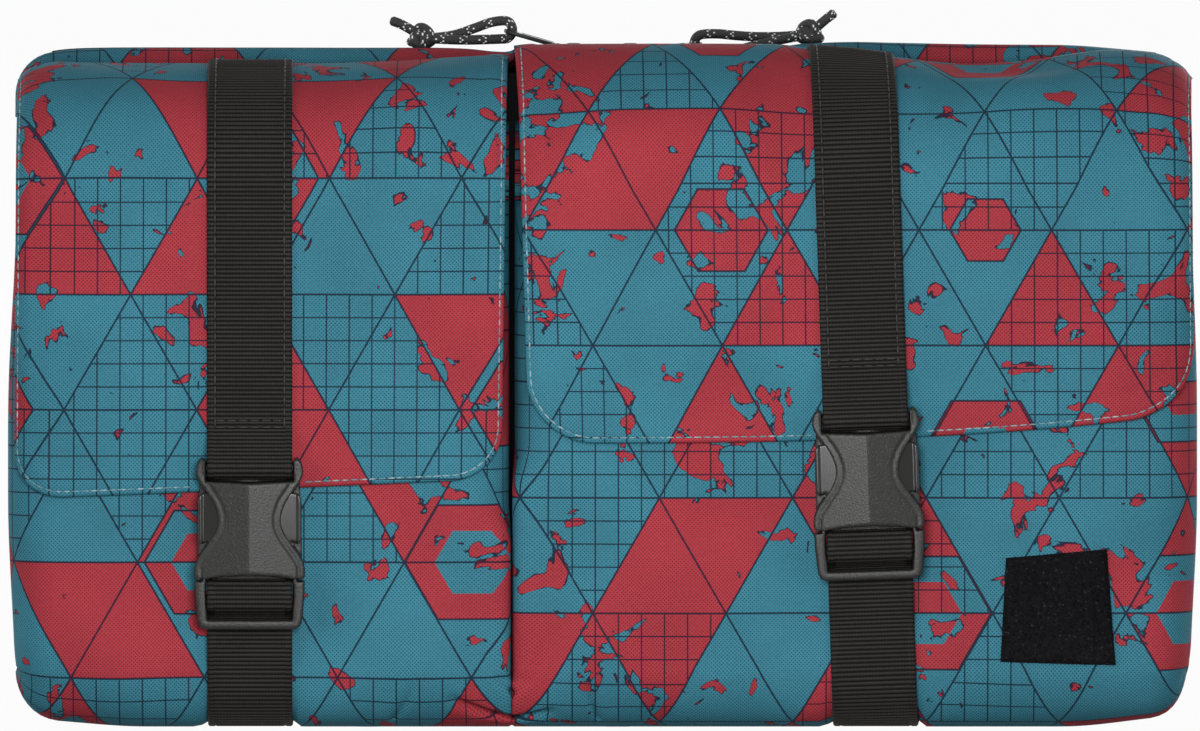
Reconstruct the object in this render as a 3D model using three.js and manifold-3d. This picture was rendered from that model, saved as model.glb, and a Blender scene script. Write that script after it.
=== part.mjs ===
// Crossbody bag: a zipped main compartment with two flapped front pockets on side-release buckles.
// Millimetres, +Z up, the pockets face -Y. The origin is on the ground under the main compartment.
import * as THREE from 'three';
import { mergeVertices } from 'three/addons/utils/BufferGeometryUtils.js';
import loadManifold from 'manifold-3d';

const wasm = await loadManifold();
wasm.setup();

// Main compartment
const BAG_WIDTH = 349;
const BAG_HEIGHT = 193;
const MAIN_DEPTH = 60;
const SEAM_Y = -6;
const CLOTH = 2;
const PADDING = 8;
const PADDING_EASE = 2.5;
const BOTTOM_CORNER = 17;
const TOP_CORNER = 9;
const TOP_STRIP_DROP = 16;
const GAP = 0.3;

// Pockets: shared section, then the sizes that differ from side to side
const POCKET_DEPTH = 47;
const POCKET_SLOPE = 4;
const POCKET_LIFT = 2.2;
const POCKET_ROUND = 16;
const SHOULDER_DROP = 34;
const MOUTH_DROP = 37;
const SIDE_ROUND = 14;
const PARTING_X = -27.2;
const PARTING_GAP = 1.6;
const FLAP_CLOTH = 2.2;
const FLAP_REACH = THREE.MathUtils.degToRad(55);
const PATCH_SIZE = 32.5;
const PATCH_CLOTH = 1.4;
const PATCH_CORNER = 1.5;
const PATCH_INSET = 41.5;
const PATCH_HEIGHT = 36.5;
const LEFT_STRAP_INSET = 70.2;
const RIGHT_STRAP_INSET = 96.5;
const LEFT_POCKET = {
  side: 'left',
  from: -BAG_WIDTH / 2,
  to: PARTING_X - PARTING_GAP / 2,
  hem: 69,
  hemRise: 0,
  hemCorner: 15,
  strapX: -BAG_WIDTH / 2 + LEFT_STRAP_INSET,
  buckleZ: 45,
  lean: 0,
  stitchToBar: 11.5,
};
const RIGHT_POCKET = {
  side: 'right',
  from: PARTING_X + PARTING_GAP / 2,
  to: BAG_WIDTH / 2,
  hem: 85,
  hemRise: 9,
  hemCorner: 20,
  strapX: BAG_WIDTH / 2 - RIGHT_STRAP_INSET,
  buckleZ: 59.6,
  lean: THREE.MathUtils.degToRad(1.9),
  stitchToBar: 14.9,
};

// Webbing
const WEB_WIDTH = 25;
const WEB_THICK = 1.6;
const WEB_STEP = 7;
const WEB_TAIL = 5;

// Side-release buckle, measured from the socket's mouth upwards
const BUCKLE_WIDTH = 32.5;
const BUCKLE_EASE = 1;
const BUCKLE_ROUND = 2;
const SOCKET_BACK = 4;
const SOCKET_EDGE = 3.3;
const SOCKET_RIDGE = 4.8;
const SOCKET_HEIGHT = 29.2;
const SOCKET_SAG = 1.2;
const SOCKET_ARCH = 1.6;
const EDGE_BAND = 2.2;
const EDGE_BAND_DROP = 0.7;
const FLARE_START = 3;
const WAIST = 18.4;
const WAIST_UP = 17.5;
const WAIST_PULL = 5;
const WINDOW_LOW = 10.4;
const WINDOW_HIGH = 26.1;
const EAR_TOP = 36.2;
const EAR_WIDEST = 32;
const EAR_INSET = 0.45;
const EAR_WIDTH = 2.8;
const BAR_RADIUS = 1.5;
const BAR_UP = 33;
const CAVITY_DEPTH = 4.6;
const MOUTH_WALL = 1.85;
const THROAT_WALL = 3.65;
const PLUG_DEPTH = 4;
const PLUG_CLEAR = 0.4;
const PLUG_BASE = 4.2;
const PLUG_FRAME = 14.5;
const PLUG_RAIL = 3.2;
const PLUG_BOTTOM_BAR = 2.8;
const CROSS_BAR_DROP = 6;
const GUIDE_WIDTH = 5;
const GUIDE_HEIGHT = 20;
const ARM_ROOT_X = 11;
const ARM_ROOT_GAP = 0.5;
const ARM_WIDTH = 2.6;
const ARM_PAD = 15.3;
const ARM_PAD_ROUND = 6;
const ARM_PLAY = 0.8;

// Zip
const ZIP_INSET = 24.5;
const ZIP_BEHIND_SEAM = 26;
const ZIP_SLIT = 1.4;
const CHAIN_WIDTH = 2.4;
const CHAIN_HEIGHT = 2.6;
const CHAIN_PROUD = 0.6;
const SLIDER_LENGTH = 9;
const SLIDER_WIDTH = 8.5;
const SLIDER_PLATE = 1.5;
const SLIDER_POST = 0.8;
const SLIDER_POST_LENGTH = 3;
const BRIDGE_LENGTH = 6.4;
const BRIDGE_WIDTH = 2;
const BRIDGE_WALL = 1;
const PIN_ROOM = 2.6;
const TAB_LENGTH = 21.5;
const TAB_WIDTH = 6.8;
const TAB_THICK = 1.3;
const TAB_WINDOW = 4.6;
const TAB_WINDOW_WIDTH = 3.2;
const TAB_EYE = 1.8;
const TAB_EYE_INSET = 2.5;
const LEFT_PULL = { side: 'left', outward: -1, park: 9, tilt: THREE.MathUtils.degToRad(16) };
const RIGHT_PULL = { side: 'right', outward: 1, park: 7.8, tilt: THREE.MathUtils.degToRad(5) };

// Pull cords, doubled through the tab's eye and knotted: points from the pin outwards along the zip
const CORD_RADIUS = 1.45;
const CORD_STEPS = 26;
const KNOT_SIZE = [9.8, 9, 9];
const LEFT_CORD = {
  route: [
    [40.2, -1.6, 3.7], [35, -1.6, 4.5], [29.5, -1.3, 6.4], [24.5, -0.6, 8.2], [20.18, 0, 8.7],
    [18.5, 0, 7.37], [18.26, 0, 5.24], [19.59, 0, 3.56], [21.72, 0, 3.32], [26, 0.6, 3.2],
    [31, 1.2, 3.1], [36, 1.5, 3.2], [40.2, 1.6, 3.4],
  ],
  knot: [45.4, 0, 3.3],
  tail: [[47, 0, 5.3], [51, -0.2, 7.6], [54.4, -0.4, 8.9]],
};
const RIGHT_CORD = {
  route: [
    [48.2, 1.6, 4.2], [43.2, 1.6, 3.9], [37.2, 1.4, 3.9], [31.2, 0.9, 4.3], [26.2, 0.4, 4.8],
    [21.48, 0, 4.69], [19.57, 0, 3.7], [18.93, 0, 1.66], [19.92, 0, -0.25], [21.96, 0, -0.89],
    [26.2, -0.4, -0.8], [31.2, -1, 0], [37.2, -1.4, 1.5], [43.2, -1.6, 2.9], [48.2, -1.6, 3.9],
  ],
  knot: [53.4, 0, 4.5],
  tail: [[54.7, 0, 6.3], [57.7, 0.1, 8.9], [60.8, 0.2, 11.3]],
};

// Rings for a shoulder strap, in webbing tabs on the back panel
const RING_WIRE = 3.5;
const RING_HEIGHT = 21;
const RING_EASE = 0.8;
const RING_CORNER = 4;
const STRAP_TAB_INSET = 26;
const STRAP_TAB_START = 6;
const STRAP_TAB_SEWN = 20;
const STRAP_TAB_FREE = 9;

// Places that follow from the sizes above
const HALF_WIDTH = BAG_WIDTH / 2;
const BACK_Y = SEAM_Y + MAIN_DEPTH;
const ZIP_LENGTH = BAG_WIDTH - 2 * ZIP_INSET;
const ZIP_Y = SEAM_Y + ZIP_BEHIND_SEAM;
const CHAIN_TOP = BAG_HEIGHT + CHAIN_PROUD;
const PIN_Z = CHAIN_TOP + GAP + SLIDER_PLATE + PIN_ROOM / 2;
const FLAP_FACE = GAP + FLAP_CLOTH;
const BUCKLE_MID = FLAP_FACE + GAP + SOCKET_BACK;
const RING_WIDTH = WEB_WIDTH + 2 * GAP + 2 * RING_WIRE + 2 * RING_EASE;

// Finishes
const finish = (color, roughness, metalness = 0) => ({ color, roughness, metalness });
const PRINTED_CLOTH = finish(0x2f8f93, 0.85);
const PLAIN_CLOTH = finish(0x22262b, 0.9);
const MESH_CLOTH = finish(0x1d1f22, 0.95);
const WEBBING = finish(0x151617, 0.8);
const PLASTIC = finish(0x2b2c2e, 0.5);
const METAL = finish(0x3a3b3d, 0.35, 0.9);
const ZIP_CHAIN = finish(0x121314, 0.6);
const CORD = finish(0x1a1a1c, 0.85);
const FUZZ = finish(0x101011, 1);

const bag = new THREE.Group();

// Adds one named piece to a group, with faces that point outwards
function piece(name, geometry, look, parent = bag) {
  const mesh = new THREE.Mesh(facingOut(geometry), new THREE.MeshStandardMaterial(look));
  mesh.name = name;
  parent.add(mesh);
  return mesh;
}

// Position-only geometry with shared corners and no collapsed triangles
function welded(geometry) {
  const bare = geometry.clone();
  bare.deleteAttribute('normal');
  bare.deleteAttribute('uv');
  const merged = mergeVertices(bare);
  const kept = [];
  for (let k = 0; k < merged.index.count; k += 3) {
    const [a, b, c] = [0, 1, 2].map((step) => merged.index.getX(k + step));
    if (a !== b && b !== c && c !== a) kept.push(a, b, c);
  }
  merged.setIndex(kept);
  return merged;
}

function facingOut(geometry) {
  const closed = welded(geometry);
  const { position } = closed.attributes;
  const corner = (k) => new THREE.Vector3().fromBufferAttribute(position, closed.index.getX(k));
  let volume = 0;
  for (let k = 0; k < closed.index.count; k += 3) {
    volume += corner(k).dot(corner(k + 1).cross(corner(k + 2)));
  }
  if (volume < 0) closed.index.array.reverse();
  const faceted = closed.toNonIndexed();
  faceted.computeVertexNormals();
  return faceted;
}

// Boolean work on closed geometry
function toSolid(geometry) {
  const closed = welded(facingOut(geometry));
  const vertProperties = new Float32Array(closed.attributes.position.array);
  const triVerts = new Uint32Array(closed.index.array);
  return new wasm.Manifold(new wasm.Mesh({ numProp: 3, vertProperties, triVerts }));
}

function toGeometry(solid) {
  const mesh = solid.getMesh();
  return indexed(Array.from(mesh.vertProperties), Array.from(mesh.triVerts));
}

function indexed(positions, index) {
  const geometry = new THREE.BufferGeometry();
  geometry.setAttribute('position', new THREE.Float32BufferAttribute(positions, 3));
  geometry.setIndex(index);
  return geometry;
}

function joined(...geometries) {
  return toGeometry(geometries.map(toSolid).reduce((sum, next) => sum.add(next)));
}

// Extrusion of an outline in X and Z between two depths
function upright(shape, frontY, rearY, ease = 0, easeSegments = 1) {
  const geometry = new THREE.ExtrudeGeometry(shape, {
    depth: rearY - frontY - 2 * ease,
    bevelEnabled: ease > 0,
    bevelSize: ease,
    bevelOffset: -ease,
    bevelThickness: ease,
    bevelSegments: easeSegments,
    curveSegments: 4,
  });
  geometry.rotateX(Math.PI / 2);
  geometry.translate(0, rearY - ease, 0);
  return geometry;
}

function block(from, to) {
  const low = new THREE.Vector3(...from);
  const high = new THREE.Vector3(...to);
  const size = high.clone().sub(low);
  const middle = low.add(high).multiplyScalar(0.5);
  return new THREE.BoxGeometry(size.x, size.y, size.z).translate(middle.x, middle.y, middle.z);
}

function roundedOutline(halfWidth, low, high, lowCorner, highCorner) {
  const shape = new THREE.Shape();
  shape.absarc(-halfWidth + lowCorner, low + lowCorner, lowCorner, Math.PI, 1.5 * Math.PI, false);
  shape.absarc(halfWidth - lowCorner, low + lowCorner, lowCorner, 1.5 * Math.PI, 2 * Math.PI, false);
  shape.absarc(halfWidth - highCorner, high - highCorner, highCorner, 0, 0.5 * Math.PI, false);
  shape.absarc(-halfWidth + highCorner, high - highCorner, highCorner, 0.5 * Math.PI, Math.PI, false);
  shape.closePath();
  return shape;
}

// Band along one side, the floor and the other side of a box, open at the rim
function trough(halfWidth, rim, corner, wall) {
  const shape = new THREE.Shape();
  shape.moveTo(-halfWidth, rim);
  shape.lineTo(-halfWidth, corner);
  shape.absarc(-halfWidth + corner, corner, corner, Math.PI, 1.5 * Math.PI, false);
  shape.absarc(halfWidth - corner, corner, corner, 1.5 * Math.PI, 2 * Math.PI, false);
  shape.lineTo(halfWidth, rim);
  shape.lineTo(halfWidth - wall, rim);
  shape.absarc(halfWidth - corner, corner, corner - wall, 0, -0.5 * Math.PI, true);
  shape.absarc(-halfWidth + corner, corner, corner - wall, -0.5 * Math.PI, -Math.PI, true);
  shape.lineTo(-halfWidth + wall, rim);
  shape.closePath();
  return shape;
}

function buildMainCompartment() {
  const outline = roundedOutline(HALF_WIDTH, 0, BAG_HEIGHT, BOTTOM_CORNER, TOP_CORNER);
  const frontEdge = SEAM_Y + CLOTH + GAP;
  const rearEdge = BACK_Y - PADDING - GAP;
  const gussetRim = BAG_HEIGHT - TOP_STRIP_DROP - GAP;
  piece('main_front_panel', upright(outline, SEAM_Y, SEAM_Y + CLOTH), PLAIN_CLOTH);
  piece('back_panel', upright(outline, BACK_Y - PADDING, BACK_Y, PADDING_EASE, 2), MESH_CLOTH);
  piece('main_gusset', upright(trough(HALF_WIDTH, gussetRim, BOTTOM_CORNER, CLOTH), frontEdge, rearEdge),
    PRINTED_CLOTH);

  // The top strips are the same band, turned over
  const strip = trough(HALF_WIDTH, TOP_STRIP_DROP, TOP_CORNER, CLOTH);
  const chainEdge = ZIP_SLIT / 2 + CHAIN_WIDTH + GAP;
  const front = piece('zip_strip_front', upright(strip, frontEdge, ZIP_Y - chainEdge), PRINTED_CLOTH);
  const rear = piece('zip_strip_rear', upright(strip, ZIP_Y + chainEdge, rearEdge), PRINTED_CLOTH);
  for (const mesh of [front, rear]) {
    mesh.rotation.y = Math.PI;
    mesh.position.z = BAG_HEIGHT;
  }
}

function zipEndOutline() {
  const start = ZIP_LENGTH / 2 + GAP;
  const foot = BAG_HEIGHT - TOP_STRIP_DROP;
  const cornerX = HALF_WIDTH - TOP_CORNER;
  const cornerZ = BAG_HEIGHT - TOP_CORNER;
  const shape = new THREE.Shape();
  shape.moveTo(start, BAG_HEIGHT);
  shape.lineTo(cornerX, BAG_HEIGHT);
  shape.absarc(cornerX, cornerZ, TOP_CORNER, 0.5 * Math.PI, 0, true);
  shape.lineTo(HALF_WIDTH, foot);
  shape.lineTo(HALF_WIDTH - CLOTH, foot);
  shape.absarc(cornerX, cornerZ, TOP_CORNER - CLOTH, 0, 0.5 * Math.PI, false);
  shape.lineTo(start, BAG_HEIGHT - CLOTH);
  shape.closePath();
  return shape;
}

function buildZip() {
  const low = CHAIN_TOP - CHAIN_HEIGHT;
  const inner = ZIP_SLIT / 2;
  const outer = inner + CHAIN_WIDTH;
  const half = ZIP_LENGTH / 2;
  piece('zip_chain_front', block([-half, ZIP_Y - outer, low], [half, ZIP_Y - inner, CHAIN_TOP]), ZIP_CHAIN);
  piece('zip_chain_rear', block([-half, ZIP_Y + inner, low], [half, ZIP_Y + outer, CHAIN_TOP]), ZIP_CHAIN);
  for (const { side, outward } of [LEFT_PULL, RIGHT_PULL]) {
    const end = piece(`zip_end_${side}`, upright(zipEndOutline(), -outer, outer), PRINTED_CLOTH);
    end.position.y = ZIP_Y;
    end.rotation.z = outward > 0 ? 0 : Math.PI;
  }
}

// Slider body: two plates on a post that runs in the slit, and a bridge for the pull
function sliderGeometry() {
  const plate = new THREE.Shape();
  const half = SLIDER_LENGTH / 2;
  const narrow = SLIDER_WIDTH * 0.36;
  plate.moveTo(half, -narrow);
  plate.quadraticCurveTo(half, narrow, half - BRIDGE_WALL, narrow);
  plate.bezierCurveTo(0, narrow, 0, SLIDER_WIDTH / 2, -half, SLIDER_WIDTH / 2);
  plate.lineTo(-half, -SLIDER_WIDTH / 2);
  plate.bezierCurveTo(0, -SLIDER_WIDTH / 2, 0, -narrow, half - BRIDGE_WALL, -narrow);
  plate.closePath();
  const options = { depth: SLIDER_PLATE, bevelEnabled: false, curveSegments: 4 };
  const sheet = () => new THREE.ExtrudeGeometry(plate, options);
  const topZ = CHAIN_TOP + GAP;
  const lowZ = CHAIN_TOP - CHAIN_HEIGHT - GAP - SLIDER_PLATE;
  const bridgeZ = topZ + SLIDER_PLATE;
  const post = block(
    [-SLIDER_POST_LENGTH / 2, -SLIDER_POST / 2, lowZ + SLIDER_PLATE / 2],
    [SLIDER_POST_LENGTH / 2, SLIDER_POST / 2, topZ + SLIDER_PLATE / 2],
  );
  const reach = BRIDGE_LENGTH / 2;
  const arch = roundedOutline(reach, -SLIDER_PLATE / 2, PIN_ROOM + BRIDGE_WALL, GAP, 2 * BRIDGE_WALL);
  arch.holes.push(roundedOutline(reach - BRIDGE_WALL, 0, PIN_ROOM, GAP, BRIDGE_WALL));
  const bridge = upright(arch, -BRIDGE_WIDTH / 2, BRIDGE_WIDTH / 2).translate(0, 0, bridgeZ);
  return joined(sheet().translate(0, 0, topZ), sheet().translate(0, 0, lowZ), post, bridge);
}

// Pull tab: a plate whose near edge is the pin under the bridge, with an eye for the cord
function tabGeometry() {
  const edge = TAB_THICK / 2;
  const half = TAB_WIDTH / 2;
  const round = half - edge;
  const shape = new THREE.Shape();
  shape.moveTo(-edge, -half);
  shape.lineTo(TAB_LENGTH - round, -half);
  shape.absarc(TAB_LENGTH - round, -half + round, round, -0.5 * Math.PI, 0, false);
  shape.absarc(TAB_LENGTH - round, half - round, round, 0, 0.5 * Math.PI, false);
  shape.lineTo(-edge, half);
  shape.closePath();
  const slot = new THREE.Path();
  slot.moveTo(edge, -TAB_WINDOW_WIDTH / 2);
  slot.lineTo(edge + TAB_WINDOW, -TAB_WINDOW_WIDTH / 2);
  slot.lineTo(edge + TAB_WINDOW, TAB_WINDOW_WIDTH / 2);
  slot.lineTo(edge, TAB_WINDOW_WIDTH / 2);
  slot.closePath();
  const eye = new THREE.Path();
  eye.absarc(TAB_LENGTH - TAB_EYE_INSET, 0, TAB_EYE, 0, 2 * Math.PI, false);
  shape.holes.push(slot, eye);
  const options = { depth: TAB_THICK, bevelEnabled: false, curveSegments: 6 };
  return new THREE.ExtrudeGeometry(shape, options).translate(0, 0, -TAB_THICK / 2);
}

function cordGeometry(points, steps) {
  const section = new THREE.Shape();
  section.absarc(0, 0, CORD_RADIUS, 0, 2 * Math.PI, false);
  const extrudePath = new THREE.CatmullRomCurve3(points.map((point) => new THREE.Vector3(...point)));
  return new THREE.ExtrudeGeometry(section, { steps, extrudePath, curveSegments: 4 });
}

function buildPull({ side, outward, park, tilt }, cord) {
  const carriage = new THREE.Group();
  carriage.position.set(outward * park, ZIP_Y, 0);
  carriage.rotation.z = outward > 0 ? 0 : Math.PI;
  bag.add(carriage);
  piece(`zip_slider_${side}`, sliderGeometry(), METAL, carriage);
  const tab = piece(`pull_tab_${side}`, tabGeometry(), METAL, carriage);
  tab.position.z = PIN_Z;
  tab.rotation.y = -tilt;

  const strands = piece(`pull_cord_${side}`, cordGeometry(cord.route, CORD_STEPS), CORD, carriage);
  const ball = new THREE.SphereGeometry(0.5, 12, 8).scale(...KNOT_SIZE).translate(...cord.knot);
  const tail = cordGeometry(cord.tail, cord.tail.length);
  const knot = piece(`pull_knot_${side}`, joined(ball, tail), CORD, carriage);
  for (const mesh of [strands, knot]) mesh.position.z = PIN_Z;
}

// Section of a pocket in Y and Z: over the mouth, down the front, round and back along the bottom
function pocketSection() {
  const seam = SEAM_Y - GAP;
  const front = SEAM_Y - POCKET_DEPTH;
  const shoulder = front + POCKET_SLOPE;
  const top = BAG_HEIGHT - GAP;
  const path = new THREE.Path();
  path.moveTo(seam, top);
  path.bezierCurveTo(
    THREE.MathUtils.lerp(seam, shoulder, 0.6), top - GAP,
    shoulder - POCKET_SLOPE * SHOULDER_DROP / (4 * BAG_HEIGHT), top - SHOULDER_DROP * 0.4,
    shoulder, top - SHOULDER_DROP,
  );
  path.lineTo(front, POCKET_LIFT + POCKET_ROUND);
  path.absarc(front + POCKET_ROUND, POCKET_LIFT + POCKET_ROUND, POCKET_ROUND, Math.PI, 1.5 * Math.PI, false);
  path.lineTo(seam, POCKET_LIFT);
  return path;
}

const SECTION = pocketSection();
const SECTION_LENGTH = SECTION.getLength();

// Point of the pocket section at a distance along it, lifted off by an offset; x is Y and y is Z here
function onSection(along, offset) {
  const share = THREE.MathUtils.clamp(along / SECTION_LENGTH, 0, 1);
  const point = SECTION.getPoint(share);
  const heading = SECTION.getTangent(share);
  return new THREE.Vector2(point.x + heading.y * offset, point.y - heading.x * offset);
}

// Distance along the section at which its front reaches a height
function alongAt(height) {
  let low = 0;
  let high = SECTION_LENGTH - POCKET_DEPTH;
  for (let i = 0; i < 40; i += 1) {
    const middle = (low + high) / 2;
    if (onSection(middle, 0).y > height) low = middle;
    else high = middle;
  }
  return low;
}

// Evenly spaced values from one value up to, but not including, another
function steps(from, to, count) {
  return Array.from({ length: count }, (_, i) => THREE.MathUtils.lerp(from, to, i / count));
}

// Stations across a pocket: the first and last ones turn round its side edges
function pocketStations(pocket, reach, turns, spans) {
  const left = pocket.from + SIDE_ROUND;
  const right = pocket.to - SIDE_ROUND;
  const stations = [];
  for (let i = turns; i > 0; i -= 1) stations.push({ x: left, turn: -reach * i / turns });
  for (const x of [...steps(left, right, spans), right]) stations.push({ x, turn: 0 });
  for (let i = 1; i <= turns; i += 1) stations.push({ x: right, turn: reach * i / turns });
  for (const station of stations) station.across = station.x + station.turn * SIDE_ROUND;
  return stations;
}

function onPocket(station, along, offset) {
  const radius = SIDE_ROUND + offset;
  const place = onSection(along, radius * Math.cos(station.turn) - SIDE_ROUND);
  return new THREE.Vector3(station.x + radius * Math.sin(station.turn), place.x, place.y);
}

// Closed sheet between two faces over a grid; place gives the point of a station, a row and a face
function sheetGeometry(stations, rowValues, place) {
  const positions = [];
  const index = [];
  const last = stations.length - 1;
  const rows = rowValues.length - 1;
  for (const face of [0, 1]) {
    for (const station of stations) {
      for (const value of rowValues) positions.push(...place(station, value, face).toArray());
    }
  }
  const at = (face, column, row) => (face * stations.length + column) * rowValues.length + row;
  const quad = (a, b, c, d) => index.push(a, b, c, a, c, d);
  for (let c = 0; c < last; c += 1) {
    for (let r = 0; r < rows; r += 1) {
      quad(at(1, c, r), at(1, c + 1, r), at(1, c + 1, r + 1), at(1, c, r + 1));
      quad(at(0, c, r + 1), at(0, c + 1, r + 1), at(0, c + 1, r), at(0, c, r));
    }
    quad(at(1, c + 1, 0), at(1, c, 0), at(0, c, 0), at(0, c + 1, 0));
    quad(at(1, c, rows), at(1, c + 1, rows), at(0, c + 1, rows), at(0, c, rows));
  }
  for (let r = 0; r < rows; r += 1) {
    quad(at(1, 0, r), at(1, 0, r + 1), at(0, 0, r + 1), at(0, 0, r));
    quad(at(1, last, r + 1), at(1, last, r), at(0, last, r), at(0, last, r + 1));
  }
  return indexed(positions, index);
}

function buildPocket(pocket) {
  const mouth = alongAt(BAG_HEIGHT - MOUTH_DROP);
  const turnStart = alongAt(POCKET_LIFT + POCKET_ROUND);
  const turnEnd = turnStart + POCKET_ROUND * Math.PI / 2;
  const rows = [...steps(mouth, turnStart, 3), ...steps(turnStart, turnEnd, 5), turnEnd, SECTION_LENGTH];
  const wrap = sheetGeometry(pocketStations(pocket, Math.PI / 2, 4, 3), rows, (station, along, face) => (
    onPocket(station, along, (face - 1) * CLOTH)
  ));
  piece(`${pocket.side}_pocket_wrap`, wrap, PRINTED_CLOTH);

  // Side gussets fill the section inside the wrap's turned edges
  const inset = -(SIDE_ROUND + GAP);
  const rim = onSection(mouth, inset);
  const gusset = new THREE.Shape();
  gusset.moveTo(SEAM_Y - GAP, rim.y);
  for (const along of rows) {
    const place = onSection(along, inset);
    gusset.lineTo(place.x, place.y);
  }
  gusset.closePath();
  for (const [edge, x] of [['left', pocket.from], ['right', pocket.to - CLOTH]]) {
    const wall = new THREE.ExtrudeGeometry(gusset, { depth: CLOTH, bevelEnabled: false });
    const mesh = piece(`${pocket.side}_pocket_gusset_${edge}`, onEdge(wall), PRINTED_CLOTH);
    mesh.position.x = x;
  }
}

// Turns an outline drawn in Y and Z, extruded, so that the extrusion runs along X
function onEdge(geometry) {
  const position = geometry.attributes.position;
  for (let i = 0; i < position.count; i += 1) {
    position.setXYZ(i, position.getZ(i), position.getX(i), position.getY(i));
  }
  return geometry;
}

function cornerCut(distance, radius) {
  const short = Math.max(radius - distance, 0);
  return radius - Math.sqrt(radius * radius - short * short);
}

function buildFlap(pocket) {
  const stations = pocketStations(pocket, FLAP_REACH, 4, 8);
  const first = stations[0].across;
  const last = stations.at(-1).across;
  const hem = alongAt(pocket.hem);
  const shoulder = alongAt(BAG_HEIGHT - GAP - SHOULDER_DROP);
  const rows = [...steps(0, 1, 8), ...steps(1, 2, 5), 2];
  const flap = sheetGeometry(stations, rows, (station, row, face) => {
    const fromLeft = station.across - first;
    const fromRight = last - station.across;
    const rise = pocket.hemRise * (fromLeft / (last - first)) ** 3;
    const end = hem - rise - cornerCut(Math.min(fromLeft, fromRight), pocket.hemCorner);
    const along = row < 1 ? shoulder * row : THREE.MathUtils.lerp(shoulder, end, row - 1);
    return onPocket(station, along, GAP + face * FLAP_CLOTH);
  });
  piece(`${pocket.side}_flap`, flap, PRINTED_CLOTH);
}

// Webbing whose edge is an outline of distance along a surface and offset from it; place bends it on to
// that surface, and a lean turns it within the surface about a pivot
function webbingGeometry(outline, place, lean = 0, pivot = 0) {
  const { shape, holes } = outline.extractPoints(6);
  const bent = (points) => points.map((point) => place(point.x, point.y));
  const faces = THREE.ShapeUtils.triangulateShape(bent(shape), holes.map(bent));
  const corners = [shape, ...holes].flat();
  const positions = [];
  for (const across of [-WEB_WIDTH / 2, WEB_WIDTH / 2]) {
    for (const corner of corners) {
      const down = corner.x - pivot;
      const spot = place(pivot + down * Math.cos(lean) - across * Math.sin(lean), corner.y);
      positions.push(across * Math.cos(lean) + down * Math.sin(lean), spot.x, spot.y);
    }
  }
  const far = corners.length;
  const index = [];
  const edges = new Set();
  for (const [a, b, c] of faces) {
    index.push(a, b, c, far + a, far + c, far + b);
    edges.add(`${a} ${b}`).add(`${b} ${c}`).add(`${c} ${a}`);
  }
  for (const edge of edges) {
    const [a, b] = edge.split(' ').map(Number);
    if (!edges.has(`${b} ${a}`)) index.push(b, a, far + a, b, far + a, far + b);
  }
  return indexed(positions, index);
}

// Angles at which the two tangents from a point touch a circle
function tangentAngles(centre, radius, point) {
  const away = point.clone().sub(centre);
  const spread = Math.acos(radius / away.length());
  return [away.angle() - spread, away.angle() + spread - 2 * Math.PI];
}

// Webbing sewn flat on a surface and then looped round a bar
function loopOutline({ start, stitch, bar, barOffset, barRadius, inner }) {
  const outer = inner + WEB_THICK;
  const eye = barRadius + GAP;
  const rim = eye + WEB_THICK;
  const centre = new THREE.Vector2(bar, barOffset);
  const apex = new THREE.Vector2(stitch + WEB_THICK, inner + WEB_THICK / 2);
  const run = [...steps(start, stitch, Math.ceil((stitch - start) / WEB_STEP)), stitch];
  const [front] = tangentAngles(centre, rim, new THREE.Vector2(stitch, outer));
  const [, back] = tangentAngles(centre, rim, new THREE.Vector2(stitch, inner));
  const shape = new THREE.Shape();
  shape.moveTo(start, inner);
  for (const along of run) shape.lineTo(along, outer);
  shape.absarc(bar, barOffset, rim, front, back, true);
  for (const along of run.slice(1).reverse()) shape.lineTo(along, inner);
  const [eyeFront, eyeBack] = tangentAngles(centre, eye, apex);
  const hole = new THREE.Path();
  hole.absarc(bar, barOffset, eye, eyeBack, eyeFront, false);
  hole.lineTo(apex.x, apex.y);
  shape.holes.push(hole);
  return shape;
}

// Ribbon of webbing thickness along a smooth line
function ribbonOutline(points, divisions) {
  const line = new THREE.SplineCurve(points.map((point) => new THREE.Vector2(...point)));
  const front = [];
  const back = [];
  for (const share of [...steps(0, 1, divisions), 1]) {
    const point = line.getPointAt(share);
    const heading = line.getTangentAt(share);
    const aside = new THREE.Vector2(-heading.y, heading.x).multiplyScalar(WEB_THICK / 2);
    front.push(point.clone().add(aside));
    back.unshift(point.clone().sub(aside));
  }
  return new THREE.Shape([...front, ...back]);
}

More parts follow.
